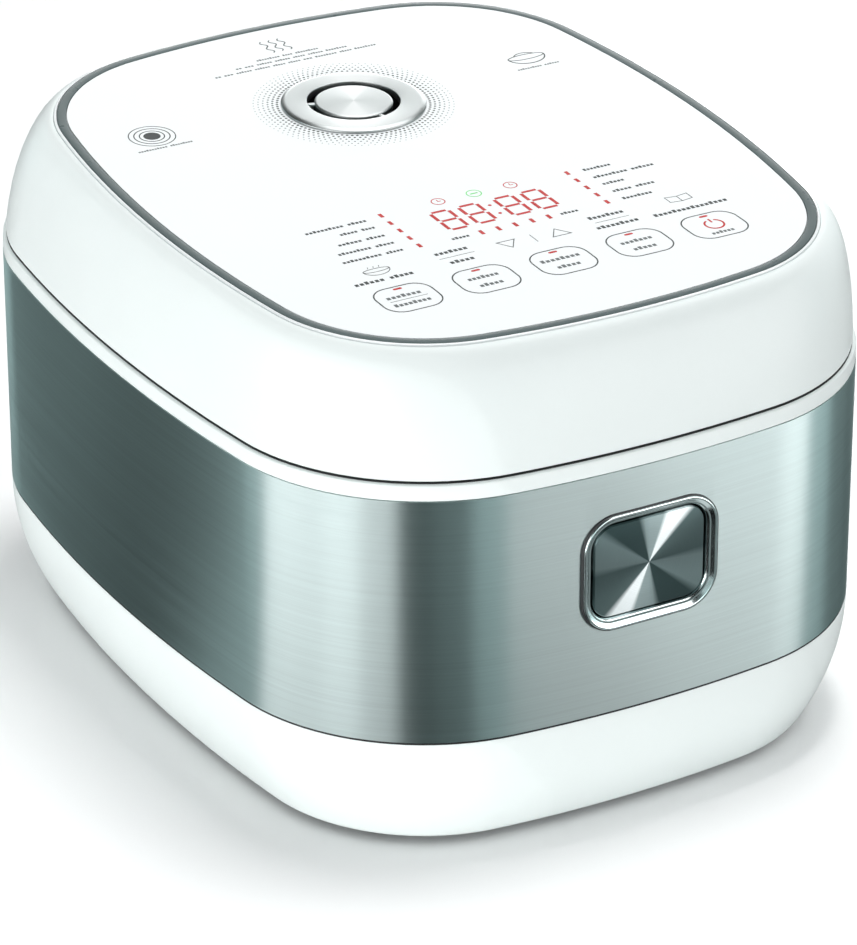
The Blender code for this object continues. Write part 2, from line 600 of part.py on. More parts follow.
def make_lid_liner():
    """Underside of the lid: a tray around the inner lid, with the hinge barrel at the back."""
    low, rise, top = 0.1693, 0.1718, 0.1750
    edge = SEAM_INSET + 0.0026 + GAP + 0.0003
    upper = [(x, y, top) for x, y, z in lid_ring(0.13, 0.0034)]
    liner = loft("lid_liner", [body_ring(edge, low), upper], WHITE)
    well = guide(loft, "liner_trough", [body_ring(0.0075, rise), body_ring(0.0075, top + 0.01)])
    cut(well, guide(rod, "liner_trough_core", (POT.x, POT.y, 0.16), (POT.x, POT.y, 0.20), 0.1190,
                    sides=ROUND))
    cut(liner, well)
    cut(liner, guide(rod, "liner_pocket", (POT.x, POT.y, 0.16), (POT.x, POT.y, 0.1725), 0.1165, sides=ROUND))
    cut(liner, guide(rod, "liner_steam_hole", (0, VENT_Y + 0.0017, 0.16), (0, VENT_Y + 0.0017, 0.18),
                     0.0110, sides=24))
    cut(liner, guide(rod, "liner_knob_hole", (POT.x, POT.y, 0.16), (POT.x, POT.y, 0.18), 0.0030, sides=16))
    cut(liner, guide(boxes, "liner_latch_hole", [((-0.0100, -0.1700, 0.16), (0.0100, -0.1479, 0.18))]))
    cut(liner, guide(boxes, "liner_hinge_notch", [((-0.0626, 0.1640, 0.16), (0.0626, 0.19, 0.18))]))
    barrel = guide(rod, "hinge_barrel", (-BARREL_HALF, HINGE.y, HINGE.z), (BARREL_HALF, HINGE.y, HINGE.z),
                   BARREL_R,
                   sides=28)
    join(liner, barrel)
    arm = guide(boxes, "barrel_arm", [((-BARREL_HALF, 0.1600, 0.1693), (BARREL_HALF, 0.1740, 0.1750))])
    join(liner, arm)
    return cut(liner, guide(rod, "barrel_bore", (-0.07, HINGE.y, HINGE.z), (0.07, HINGE.y, HINGE.z),
                            HINGE_PIN_R + GAP))


def make_top_panel():
    panel = loft("top_panel", [panel_ring(-SEAM_INSET + GAP, 0.0034), panel_ring(-SEAM_INSET + GAP, 0.0003),
                               panel_ring(-SEAM_INSET + 2 * GAP, 0.0)], PANEL_WHITE)
    cut(panel, guide(loft, "strip_groove", [panel_ring(-0.0003, 0.0011), panel_ring(-0.0003, -0.002),
                                            panel_ring(0.0043, -0.002), panel_ring(0.0043, 0.0011)],
                                            hollow=True))
    cut(panel, onto_panel(guide(rod, "panel_vent_hole", (0, 0, -0.02), (0, 0, 0.02), 0.0280, sides=ROUND),
                          VENT_Y))
    strip = loft("panel_strip", [panel_ring(0.0, 0.0008), panel_ring(0.0, 0.0), panel_ring(0.0040, 0.0),
                                 panel_ring(0.0040, 0.0008)], GREY_TRIM, hollow=True)
    return [panel, strip]


def make_vent():
    """Lift-out steam cap with a C-shaped slot, its metal disc, and the cup it sits in."""
    cap = onto_panel(turned("vent_cap", [(0.0, -0.0016), (0.0, 0.0006), (0.0172, 0.0006), (0.0180, 0.0017),
                                         (0.0290, 0.0017),
                                         (VENT_R, 0.0008), (VENT_R, 0.0003), (0.0255, 0.0003),
                                         (0.0255, -0.0180),
                                         (0.0235, -0.0180), (0.0235, -0.0016)], SPUN), VENT_Y)
    slots = guide(turned, "vent_slot", [(0.0172, -0.01), (0.0172, 0.01), (0.0197, 0.01), (0.0197, -0.01)])
    onto_panel(slots, VENT_Y)
    keep = [((-0.0210, -0.0008, -0.02), (-0.0150, 0.0008, 0.02)), ((0.0035, -0.0205, -0.02), (0.0052,
                                                                                              -0.0150, 0.02))]
    bridges = onto_panel(guide(boxes, "vent_bridges", keep), VENT_Y)
    cut(slots, bridges)
    cut(cap, slots)
    disc = onto_panel(turned("vent_disc", [(0.0, 0.0009), (0.0, 0.0015), (0.0160, 0.0015), (0.0166, 0.0012),
                                           (0.0166, 0.0009)], SPUN), VENT_Y)
    cup = onto_panel(turned("vent_cup", [(0.0290, -0.0230), (0.0290, -0.0065), (0.0275, -0.0065),
                                         (0.0275, -0.0215),
                                         (0.0060, -0.0215), (0.0060, -0.0230)], GREY), VENT_Y)
    tube = onto_panel(turned("steam_tube", [(0.0080, -0.0545), (0.0080, -0.0233), (0.0060, -0.0233),
                                            (0.0060, -0.0545)], RUBBER, steps=24), VENT_Y)
    adopt(empty("vent_lift", panel_frame(VENT_Y).translation), cap, disc)
    return [cup, tube]


def make_inner_lid():
    plate = turned("inner_lid", [(0.1080, 0.1703), (0.1080, 0.1716), (0.0044, 0.1716), (0.0044, 0.1703)],
                   ALUMINIUM, at=POT)
    cut(plate, guide(rod, "inner_lid_steam_hole", (0, VENT_Y + 0.0017, 0.16), (0, VENT_Y + 0.0017, 0.18),
                     0.0050))
    gasket = turned("lid_gasket", [(0.1110, 0.1667), (0.1110, 0.1700), (0.1040, 0.1700), (0.1040, 0.1690),
                                   (0.1060, 0.1667)], RUBBER, at=POT)
    knob = turned("inner_lid_knob", [(0.0, 0.1600), (0.0080, 0.1600), (0.0095, 0.1615), (0.0085, 0.1699),
                                     (0.0027, 0.1699),
                                     (0.0027, 0.1790), (0.0050, 0.1790), (0.0050, 0.1810), (0.0, 0.1810)],
                                     BLACK, at=POT,
                  steps=16)
    return [plate, gasket, knob]


def make_striker():
    y0, y1, foot = LEVER.y + 0.0040, LEVER.y + 0.0080, 0.1655
    striker = boxes("latch_striker", [((-0.0070, y1, foot), (0.0070, y1 + 0.0018, 0.1736))], SPRING)
    join(striker, guide(boxes, "striker_ledge", [((-0.0070, y0, foot),
                                                  (0.0070, y1 + 0.0010, foot + 0.0018))]))
    join(striker, guide(boxes, "striker_flange", [((-0.0070, y1, 0.1721), (0.0070, y1 + 0.0110, 0.1736))]))
    return [striker]


def make_display():
    """Control board under the panel with its digit module, indicator bars and touch pads."""
    made = [boxes("display_board", [((-0.088, -0.045, -0.0120), (0.088, 0.045, -0.0104))], CIRCUIT)]
    made.append(boxes("digit_module", [((-0.0290, 0.0115, -0.0101), (0.0290, 0.0335, -0.0042))], DISPLAY))
    bars = {"led_bar_left": ((-0.0455, 0.0030, -0.0101), (-0.0415, 0.0420, -0.0050)),
            "led_bar_right": ((0.0415, 0.0030, -0.0101), (0.0455, 0.0420, -0.0050)),
            "led_bar_low": ((-0.0180, 0.0035, -0.0101), (0.0180, 0.0075, -0.0050))}
    made += [boxes(name, [pair], DISPLAY) for name, pair in bars.items()]
    for i in range(5):
        x, y = (i - 2) * KEY_PITCH, KEY_Y + 0.0820
        made.append(turned(f"touch_pad_{i + 1}", [(0.0070, -0.0101), (0.0070, -0.0042), (0.0, -0.0042),
                                                  (0.0, -0.0101)],
                           BLACK, at=(x, y, 0.0), steps=20))
    bpy.context.view_layer.update()
    frame = panel_frame(-0.0820)
    for piece in made:
        piece.matrix_world = frame @ piece.matrix_world
    return made


def make_lid():
    hinge = empty("lid_hinge", HINGE)
    pieces = [make_lid_shell(), make_lid_liner()] + make_top_panel() + make_vent()
    pieces += make_inner_lid() + make_striker() + make_display()
    adopt(hinge, *pieces)
    adopt(hinge, bpy.data.objects["vent_lift"])


def main():
    make_base_housing()
    make_bottom_cover()
    make_feet_and_screws()
    make_steel_band()
    make_top_deck()
    make_hinge_pin()
    make_inner_pot()
    make_pot_well()
    make_coils()
    make_sensor()
    make_fan()
    make_electrics()
    make_power_inlet()
    make_button_bezel()
    make_front_button()
    make_latch()
    make_lid()
    bpy.context.view_layer.update()


main()
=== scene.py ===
"""Looks of an induction rice cooker: smooth shells, printed panel, brushed and spun metal."""

import json
from math import atan, atan2, cos, pi, radians, sin

import bmesh
import bpy
from mathutils import Matrix, Vector


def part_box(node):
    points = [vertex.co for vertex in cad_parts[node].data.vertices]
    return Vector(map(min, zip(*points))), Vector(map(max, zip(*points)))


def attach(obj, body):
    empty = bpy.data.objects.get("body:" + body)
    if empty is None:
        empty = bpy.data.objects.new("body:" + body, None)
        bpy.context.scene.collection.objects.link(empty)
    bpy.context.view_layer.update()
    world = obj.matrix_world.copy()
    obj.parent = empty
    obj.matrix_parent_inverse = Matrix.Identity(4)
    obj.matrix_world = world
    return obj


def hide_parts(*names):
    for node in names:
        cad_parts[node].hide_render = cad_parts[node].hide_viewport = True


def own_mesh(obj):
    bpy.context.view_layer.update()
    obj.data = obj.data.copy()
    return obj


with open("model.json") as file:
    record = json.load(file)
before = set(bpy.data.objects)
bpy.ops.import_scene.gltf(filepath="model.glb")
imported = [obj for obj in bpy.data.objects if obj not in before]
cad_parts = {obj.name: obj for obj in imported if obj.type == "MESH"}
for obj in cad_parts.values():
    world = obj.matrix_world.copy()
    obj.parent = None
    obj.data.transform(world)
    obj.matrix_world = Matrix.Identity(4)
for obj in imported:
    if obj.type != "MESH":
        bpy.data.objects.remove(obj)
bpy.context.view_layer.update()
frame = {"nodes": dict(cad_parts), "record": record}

# ---------------------------------------------------------------- driving dimensions
MM = 0.001                 # lengths are in millimetres up to the finished mesh, apart from light and camera
# Outlines: half width, half depth, side arc radius, front arc radius, corner radius.
BODY = (145, 183.2, 798.1, 523.9, 89.4)
PANEL = (129, 155.9, 569, 421.4, 70.7)
ARCS = (8, 22, 8)          # steps along a side, a corner and a front, in a quarter of an outline
ROUND = 128                # steps round a turned piece
PANEL_TILT = 0.031
GAP = 0.3
STEEL = 1.8
WALL = 2.8
BASE_TUCK = 15
SEAM_INSET = 1.6
FLANK = (2.35, 1.73)       # powers of the lid's flank at the front and sides, as (1 - s) ** P + t ** Q = 1
BACK = (1.31, 1.4)         # the same at the back


def low_of(node):
    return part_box(node)[0] / MM


def high_of(node):
    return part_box(node)[1] / MM


def middle_of(node):
    return (low_of(node) + high_of(node)) / 2


def heights(node):
    return low_of(node).z, high_of(node).z


BAND_LOW, BAND_TOP = heights("steel_band")
BASE_LOW = low_of("base_housing").z
SEAM = low_of("lid_shell").z - GAP
PANEL_Y = middle_of("panel_strip").y
PANEL_TOP = high_of("panel_strip").z - PANEL_TILT * PANEL[1]
HINGE = middle_of("hinge_pin")
POT = Vector((middle_of("inner_pot").x, middle_of("inner_pot").y, 0))
DECK_FLOOR = SEAM - 4.5
HINGE_GAP = ((-80, 165.5, 162.2), (80, 200, 180))    # box cut out of the deck for the hinge
VENT_Y = middle_of("vent_disc").y
BUTTON_Z = middle_of("front_button").z
STEM_Z = middle_of("button_spring").z
INLET = middle_of("power_inlet")
STEAM_Y = VENT_Y + 1.7
BORE = 2.3                 # radius of the hole for the hinge pin
LINER_LOW, LINER_TOP = 169.3, 175
HINGE_CUT = 62.6           # half width of the lid's cut-out for the hinge
POT_RADIUS, POT_WALL = 104, 2
SMOOTH = 32                # faces that meet at less than this many degrees are shaded as one


# ---------------------------------------------------------------- finishes
RED_FALL = 1.15            # painted dark reflection sectors of turned metal have a little less red


class Finish:
    """A Principled material that nodes are added to. Patterns read object coordinates, in metres."""

    def __init__(self, name, colour, roughness, metallic=0, **sockets):
        self.material = bpy.data.materials.new(name)
        self.material.use_nodes = True
        self.tree = self.material.node_tree
        self.shader = self.tree.nodes["Principled BSDF"]
        self.colour = colour
        values = {"Base Color": (*colour, 1), "Roughness": roughness, "Metallic": metallic, **sockets}
        for socket, value in values.items():
            self.shader.inputs[socket].default_value = value
        self.material.diffuse_color = (*colour, 1)

    def add(self, kind, inputs=(), **settings):
        node = self.tree.nodes.new(kind)
        for key, value in settings.items():
            setattr(node, key, value)
        for key, value in dict(inputs).items():
            if isinstance(value, bpy.types.NodeSocket):
                self.tree.links.new(value, node.inputs[key])
            else:
                node.inputs[key].default_value = value
        return node

    def place(self, stretch=(1, 1, 1), origin=(0, 0, 0)):
        """Object coordinates measured from ORIGIN, each multiplied by STRETCH."""
        here = self.add("ShaderNodeTexCoord").outputs["Object"]
        moved = self.maths("VectorMath", "SUBTRACT", here, origin)
        return self.maths("VectorMath", "MULTIPLY", moved, stretch)

    def maths(self, kind, operation, *values):
        """Result of a Math or VectorMath node."""
        return self.add("ShaderNode" + kind, dict(enumerate(values)), operation=operation).outputs[0]

    def noise(self, scale, detail=2, stretch=(1, 1, 1)):
        return self.add("ShaderNodeTexNoise", {"Vector": self.place(stretch), "Scale": scale,
                                               "Detail": detail}).outputs[0]

    def distance(self, origin, mask=(1, 1, 0)):
        """How far a point is from an axis through ORIGIN."""
        return self.add("ShaderNodeVectorMath", {0: self.place(mask, origin)},
                        operation="LENGTH").outputs["Value"]

    def rings(self, origin, scale, mask=(1, 1, 0), detail=3):
        """Noise that only changes with the distance from an axis, like the marks of a lathe."""
        return self.add("ShaderNodeTexNoise", {"W": self.distance(origin, mask), "Scale": scale,
                                               "Detail": detail}, noise_dimensions="1D").outputs[0]

    def ramp(self, factor, low, high, start=0.3, end=0.7):
        return self.add("ShaderNodeMapRange", {"Value": factor, "From Min": start, "From Max": end,
                                               "To Min": low, "To Max": high}).outputs[0]

    def tones(self, factor, dark, light=1, start=0.3, end=0.7):
        """Colour between DARK and LIGHT times the finish's own."""
        share = self.ramp(factor, 0, 1, start, end)
        pair = [tuple(min(1, c * k) for c in self.colour) + (1,) for k in (dark, light)]
        mixed = self.add("ShaderNodeMix", {0: share, 6: pair[0], 7: pair[1]}, data_type="RGBA")
        self.tree.links.new(mixed.outputs[2], self.shader.inputs["Base Color"])
        return self

    def rough(self, factor, low, high, start=0.3, end=0.7):
        self.tree.links.new(self.ramp(factor, low, high, start, end), self.shader.inputs["Roughness"])
        return self

    def bump(self, factor, height, strength=1):
        node = self.add("ShaderNodeBump", {"Strength": strength, "Distance": height, "Height": factor})
        self.tree.links.new(node.outputs[0], self.shader.inputs["Normal"])
        return self

    def painted_reflection_sectors(self, origin, axis, reflection_stops):
        """Painted reflection: tone by the angle about AXIS from straight up, standing in for the windows that
        turned metal catches. The stops are (degrees clockwise, tone), and the pattern repeats after half a
        turn."""
        apart = self.add("ShaderNodeSeparateXYZ", {0: self.place(origin=origin)}).outputs
        across, up = (apart[0], apart[2]) if axis == "Y" else (apart[0], apart[1])
        angle = self.maths("Math", "ARCTAN2", across, up)
        share = self.maths("Math", "FRACT", self.maths("Math", "MULTIPLY_ADD", angle, 1 / pi, 2))
        ramp = self.add("ShaderNodeValToRGB", {0: share})
        points = ramp.color_ramp.elements
        while len(points) < len(reflection_stops):
            points.new(1)
        for point, (degrees, tone) in zip(points, reflection_stops):
            point.position, point.color = degrees / 180, (tone ** RED_FALL, tone, tone, 1)
        return ramp.outputs[0]

    def brushed(self, axis, amount):
        """Highlights that spread across brush lines running round AXIS."""
        self.shader.inputs["Anisotropic"].default_value = amount
        self.shader.inputs["Anisotropic Rotation"].default_value = 0.25
        tangent = self.add("ShaderNodeTangent", direction_type="RADIAL", axis=axis)
        self.tree.links.new(tangent.outputs[0], self.shader.inputs["Tangent"])
        return self


SPECULAR, GLOW, GLOW_COLOUR = "Specular IOR Level", "Emission Strength", "Emission Color"


def mottled(name, colour, roughness, tones, rough=None, relief=None, metallic=0, **sockets):
    """Finish that varies with noise: TONES and ROUGH are (scale, detail, low, high), RELIEF is (scale,
    detail, height)."""
    made = Finish(name, colour, roughness, metallic, **sockets)
    made.tones(made.noise(*tones[:2]), *tones[2:])
    if rough:
        made.rough(made.noise(*rough[:2]), *rough[2:])
    if relief:
        made.bump(made.noise(*relief[:2]), relief[2])
    return made


def moulded(name, colour, roughness, grain, height, **sockets):
    """Injection-moulded plastic or rubber with a fine grain and slightly uneven colour."""
    spread = (120, 2, roughness * 0.85, min(1, roughness * 1.15))
    return mottled(name, colour, roughness, (38, 3, 0.93, 1.04), spread, (grain, 2, height), **sockets)


def brushed_steel():
    made = Finish("brushed_steel", (0.51, 0.6, 0.596), 0.43, 1)
    fine = made.noise(1, 3, (11, 11, 4200))
    broad = made.noise(1, 2, (5, 5, 900))
    both = made.maths("Math", "ADD", fine, broad)
    made.tones(both, 0.92, 1.04, 0.7, 1.3)
    made.rough(both, 0.4, 0.46, 0.7, 1.3)
    made.bump(fine, 0.000012, 0.6)
    return made.brushed("Z", 1)


def spun(name, colour, roughness, origin, axis, amount, contrast=0.1, reflection_stops=None):
    """Metal turned on a lathe about an axis through ORIGIN, with painted bright and dark reflection sectors
    at the given stops.
    """
    mask = tuple(0 if letter == axis else 1 for letter in "XYZ")
    made = Finish(name, colour, roughness, 1)
    lines = made.rings(origin, 5200, mask)
    tone = made.ramp(lines, 1 - contrast, 1 + contrast / 2)
    made.tones(tone, 0, 1.1, 0, 1.1)
    if reflection_stops:
        # painted reflection: the bright and dark sectors are multiplied into the colour
        base = made.shader.inputs["Base Color"]
        parts = {0: 1, 6: base.links[0].from_socket, 7: made.painted_reflection_sectors(origin, axis, reflection_stops)}
        both = made.add("ShaderNodeMix", parts, data_type="RGBA", blend_type="MULTIPLY")
        made.tree.links.new(both.outputs[2], base)
    made.rough(lines, roughness * 0.85, roughness * 1.2)
    made.bump(lines, 0.000008, 0.5)
    return made.brushed(axis, amount)


def spun_steel():
    # painted reflection: bright and dark sectors of the vent ring, standing in for the windows it catches
    reflection_stops = ((0, 0.92), (12, 1), (45, 1), (57, 0.88), (90, 0.82), (120, 0.8), (150, 0.84), (180, 0.92))
    return spun("spun_steel", (0.46, 0.482, 0.48), 0.34, (0, VENT_Y * MM, 0), "Z", 0.4, 0.04, reflection_stops)


def button_metal():
    # painted reflection: bright and dark wedges on the button's face, standing in for the windows it catches
    reflection_stops = ((0, 0.34), (18, 0.36), (24, 1), (41, 1), (48, 0.14), (88, 0.11), (96, 0.22), (125, 0.22),
             (133, 0.06), (165, 0.06), (173, 0.3), (180, 0.34))
    return spun("button_metal", (0.82, 0.89, 0.9), 0.34, (0, 0, BUTTON_Z * MM), "Y", 0.6, 0.16, reflection_stops)


def aluminium():
    return spun("aluminium", (0.7, 0.71, 0.71), 0.36, POT * MM, "Z", 0.55, 0.08)


def pot_coating():
    made = Finish("pot_coating", (0.052, 0.05, 0.05), 0.36, 0.25)
    specks = made.noise(2600, 1)
    made.tones(specks, 0.75, 3.2, 0.56, 0.72)
    made.rough(made.rings(POT * MM, 1500), 0.3, 0.44)
    return made.bump(specks, 0.00001, 0.5)


def copper():
    made = Finish("copper", (0.62, 0.26, 0.11), 0.32, 1)
    strands = made.rings(POT * MM, 2400, detail=1)
    made.tones(strands, 0.55, 1.15)
    return made.bump(strands, 0.0003)


def circuit_board():
    made = Finish("circuit_board", (0.03, 0.17, 0.075), 0.35)
    greys = {socket: (tone, tone, tone, 1) for socket, tone in (("Color1", 0), ("Color2", 0.15),
                                                                ("Mortar", 1))}
    bricks = {"Vector": made.place(), "Scale": 60, "Mortar Size": 0.02, **greys}
    tracks = made.add("ShaderNodeTexBrick", bricks).outputs["Fac"]
    made.tones(tracks, 1, 1.9, 0, 1)
    return made.bump(tracks, 0.00004)


def fading_ink():
    """Print that fades from grey to white away from the vent."""
    made = Finish("fading_ink", (0.03, 0.036, 0.036), 0.5, **{SPECULAR: 0.2})
    return made.tones(made.distance((0, VENT_Y * MM, 0)), 1, 9, 0.034, 0.044)


# Name, colour, roughness, tones, roughness noise, relief and metallic as in mottled(), and other sockets.
NOISY = (
    ("gloss_white", (0.8, 0.855, 0.843), 0.3, (9, 2, 0.985, 1.01), (60, 4, 0.28, 0.34), (260, 1, 0.000006),
     0, {SPECULAR: 0.15}),
    ("panel_white", (0.85, 0.885, 0.89), 0.12, (7, 2, 0.99, 1.01), (90, 4, 0.1, 0.15), (140, 1, 0.000003),
     0, {SPECULAR: 0.4}),
    ("grey_trim", (0.042, 0.072, 0.073), 0.34, (60, 2, 0.96, 1.04), (90, 2, 0.27, 0.33), (1600, 2, 0.000004),
     0.1, {SPECULAR: 0.2}),
    ("chrome", (0.62, 0.69, 0.69), 0.2, (90, 3, 0.96, 1.02), (700, 4, 0.17, 0.23), None, 1, {}),
    ("spring_steel", (0.56, 0.56, 0.56), 0.28, (300, 3, 0.88, 1.05), (900, 3, 0.22, 0.36), None, 1, {}),
    ("display_red", (0.44, 0.001, 0.001), 0.5, (900, 2, 0.86, 1.08), None, None, 0,
     {SPECULAR: 0.2, GLOW: 0.06, GLOW_COLOUR: (1, 0.06, 0.04, 1)}),
    ("display_green", (0.06, 0.5, 0.08), 0.5, (900, 2, 0.88, 1.08), None, None, 0,
     {GLOW: 0.15, GLOW_COLOUR: (0.2, 0.9, 0.3, 1)}),
    ("panel_ink", (0.022, 0.03, 0.03), 0.5, (1500, 3, 0.82, 1.12), None, None, 0, {SPECULAR: 0.2}),
    ("pale_ink", (0.1, 0.116, 0.116), 0.5, (1500, 3, 0.85, 1.1), None, None, 0, {SPECULAR: 0.2}),
    ("ground", (0.945, 0.945, 0.945), 0.9, (3, 2, 0.995, 1.005), None, None, 0, {}))
# Name, colour, roughness, grain and height as in moulded(), and other sockets.
MOULDED = (
    ("ferrite", (0.045, 0.045, 0.05), 0.68, 1900, 0.00006, {}),
    ("black_plastic", (0.022, 0.022, 0.024), 0.42, 1400, 0.00003, {}),
    ("grey_plastic", (0.42, 0.44, 0.44), 0.48, 1400, 0.00003, {}),
    ("silicone", (0.66, 0.69, 0.67), 0.42, 900, 0.00002,
     {"Subsurface Weight": 0.25, "Subsurface Scale": 0.002}),
    ("foot_rubber", (0.035, 0.035, 0.036), 0.78, 1500, 0.00005, {}))
PATTERNED = (brushed_steel, spun_steel, button_metal, aluminium, pot_coating, copper, circuit_board,
             fading_ink)
FINISHES = {maker.__name__: maker().material for maker in PATTERNED}
for kind, rows in ((mottled, NOISY), (moulded, MOULDED)):
    FINISHES.update({row[0]: kind(*row[:-1], **row[-1]).material for row in rows})


# ---------------------------------------------------------------- meshes
def placed(name, data):
    """New object of DATA, linked to the scene."""
    made = bpy.data.objects.new(name, data)
    bpy.context.scene.collection.objects.link(made)
    return made


def shaped(name, bm):
    """Turn a bmesh in millimetres into an object: round stretches smooth, broad flat caps flat."""
    bmesh.ops.scale(bm, vec=(MM, MM, MM), verts=bm.verts)
    bmesh.ops.recalc_face_normals(bm, faces=bm.faces)
    mesh = bpy.data.meshes.new(name)
    bm.to_mesh(mesh)
    bm.free()
    mesh.shade_smooth()
    mesh.set_sharp_from_angle(angle=radians(SMOOTH))
    for polygon in mesh.polygons:
        polygon.use_smooth = len(polygon.vertices) <= 4
    return placed(name, mesh)


def piece(made, finish, body, *nodes):
    """Give a new object its finish, and let it ride on BODY in place of CAD nodes."""
    made.data.materials.clear()
    made.data.materials.append(FINISHES[finish])
    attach(made, body)
    if nodes:
        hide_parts(*nodes)
    return made


def fillet(corners, steps=4):
    """Profile through (across, up, reach) corners, each rounded by an arc that starts REACH before it."""
    made = []
    for i, (across, up, reach) in enumerate(corners):
        here = Vector((across, up))
        before = Vector(corners[i - 1][:2]) - here
        after = Vector(corners[(i + 1) % len(corners)][:2]) - here
        reach = min(reach, 0.48 * before.length, 0.48 * after.length)
        if reach < 0.01:
            made.append((across, up))
            continue
        start, end = here + before.normalized() * reach, here + after.normalized() * reach
        for k in range(steps + 1):
            share = k / steps
            made.append(tuple(start.lerp(here, share).lerp(here.lerp(end, share), share)))
    return made


def skin(name, rings, hollow=True):
    """Skin through rings of one count: closed on itself when hollow, or capped at both ends."""
    bm = bmesh.new()
    loops = [[bm.verts.new(point) for point in ring] for ring in rings]
    pairs = list(zip(loops, loops[1:])) + ([(loops[-1], loops[0])] if hollow else [])
    for lower, upper in pairs:
        for i in range(len(lower)):
            j = (i + 1) % len(lower)
            bm.faces.new((lower[i], lower[j], upper[j], upper[i]))
    if not hollow:
        bm.faces.new(loops[0])
        bm.faces.new(loops[-1])
    return shaped(name, bm)


def shell(name, profile, ring, hollow=True):
    """Skin through the outline that RING gives for each (inset, height) of a profile."""
    return skin(name, [ring(inset, z) for inset, z in profile], hollow)


def turned(name, profile, matrix, steps=ROUND):
    """Closed (radius, height) profile turned about Z, then placed by MATRIX."""
    bm = bmesh.new()
    rows = []
    for radius, up in profile:
        count = 1 if radius < 1e-6 else steps
        row = [bm.verts.new((radius * cos(2 * pi * i / steps), radius * sin(2 * pi * i / steps), up))
               for i in range(count)]
        rows.append(row * (steps if count == 1 else 1))
    for low, high in zip(rows, rows[1:] + rows[:1]):
        for i in range(steps):
            j = (i + 1) % steps
            corners = list(dict.fromkeys((low[i], low[j], high[j], high[i])))
            if len(corners) > 2:
                bm.faces.new(corners)
    bmesh.ops.transform(bm, matrix=matrix, verts=bm.verts)
    return shaped(name, bm)


def block(name, low, high, bevel=0.4, matrix=Matrix()):
    """Box with all its edges rounded, placed by MATRIX."""
    bm = bmesh.new()
    low, high = Vector(low), Vector(high)
    bmesh.ops.create_cube(bm, size=1)
    bmesh.ops.scale(bm, vec=high - low, verts=bm.verts)
    bmesh.ops.translate(bm, vec=(low + high) / 2, verts=bm.verts)
    if bevel:
        bmesh.ops.bevel(bm, geom=bm.edges, offset=bevel, segments=2, affect="EDGES", profile=0.5)
    bmesh.ops.transform(bm, matrix=matrix, verts=bm.verts)
    return shaped(name, bm)


def along(start, end):
    """Matrix that takes Z to the direction from START to END, and the origin to START."""
    start, end = Vector(start), Vector(end)
    return Matrix.Translation(start) @ (end - start).to_track_quat("Z", "Y").to_matrix().to_4x4()


def bar(name, start, end, radius, edge=0.4, steps=48):
    length = (Vector(end) - Vector(start)).length
    corners = [(0, 0, 0), (radius, 0, edge), (radius, length, edge), (0, length, 0)]
    return turned(name, fillet(corners, 3), along(start, end), steps)


def cut(target, tool):
    """Take TOOL away from TARGET for good, and mark the sharp edges again."""
    modifier = target.modifiers.new(tool.name, "BOOLEAN")
    modifier.operation, modifier.solver, modifier.object = "DIFFERENCE", "EXACT", tool
    bpy.context.view_layer.update()
    target.data = bpy.data.meshes.new_from_object(target.evaluated_get(bpy.context.evaluated_depsgraph_get()))
    target.modifiers.clear()
    bpy.data.objects.remove(tool)
    target.data.set_sharp_from_angle(angle=radians(SMOOTH))
    return target


def coil(name, start, end, radius, wire, turns, steps=24):
    """Round wire wound in TURNS from START to END, the ends of the wire included."""
    start, line = Vector(start), Vector(end) - Vector(start)
    turn = line.to_track_quat("Z", "Y").to_matrix()
    rows = []
    for i in range(turns * steps + 1):
        angle, up = 2 * pi * i / steps, wire + (line.length - 2 * wire) * i / (turns * steps)
        across = [(radius + wire * cos(b), up + wire * sin(b)) for b in (2 * pi * k / 8 for k in range(8))]
        rows.append([start + turn @ Vector((r * cos(angle), r * sin(angle), z)) for r, z in across])
    return skin(name, rows, hollow=False)


# ---------------------------------------------------------------- outlines
def outline(shape, inset=0, y=0):
    """Soft rectangle of four tangent arcs a quarter, as a closed list of (x, y)."""
    a, b, side, front, corner = (value - inset for value in shape)
    c_side, c_front = Vector((a - side, 0)), Vector((0, b - front))
    d_side, d_front = side - corner, front - corner
    across = c_front - c_side
    k = (d_side ** 2 - d_front ** 2 + across.length ** 2) / (2 * across.length)
    h = max(d_side ** 2 - k ** 2, 0) ** 0.5
    unit = across.normalized()
    c_corner = c_side + k * unit + h * Vector((-unit.y, unit.x))
    turn1 = atan2(c_corner.y - c_side.y, c_corner.x - c_side.x)
    turn2 = atan2(c_corner.y - c_front.y, c_corner.x - c_front.x)
    arcs = ((c_side, side, 0, turn1, ARCS[0]), (c_corner, corner, turn1, turn2, ARCS[1]),
            (c_front, front, turn2, pi / 2, ARCS[2]))
    quarter = [(a, 0)]
    for centre, radius, begin, end, steps in arcs:
        for i in range(1, steps + 1):
            angle = begin + (end - begin) * i / steps
            quarter.append((centre.x + radius * cos(angle), centre.y + radius * sin(angle)))
    half = quarter + [(-px, py) for px, py in quarter[-2::-1]]
    return [(px, py + y) for px, py in half + [(px, -py) for px, py in half[-2:0:-1]]]


def level(shape, inset, z, y=0, tilt=0):
    return [(px, py, z + tilt * (py - y)) for px, py in outline(shape, inset, y)]


def body_ring(inset, z):
    return level(BODY, inset, z)


def panel_ring(inset, drop):
    return level(PANEL, inset, PANEL_TOP - drop, PANEL_Y, PANEL_TILT)


def flank_inset(t, powers):
    """Inset, 0 at the seam to 1 at the panel, where the flank has risen to t of its height."""
    return 1 - (1 - t ** powers[1]) ** (1 / powers[0])


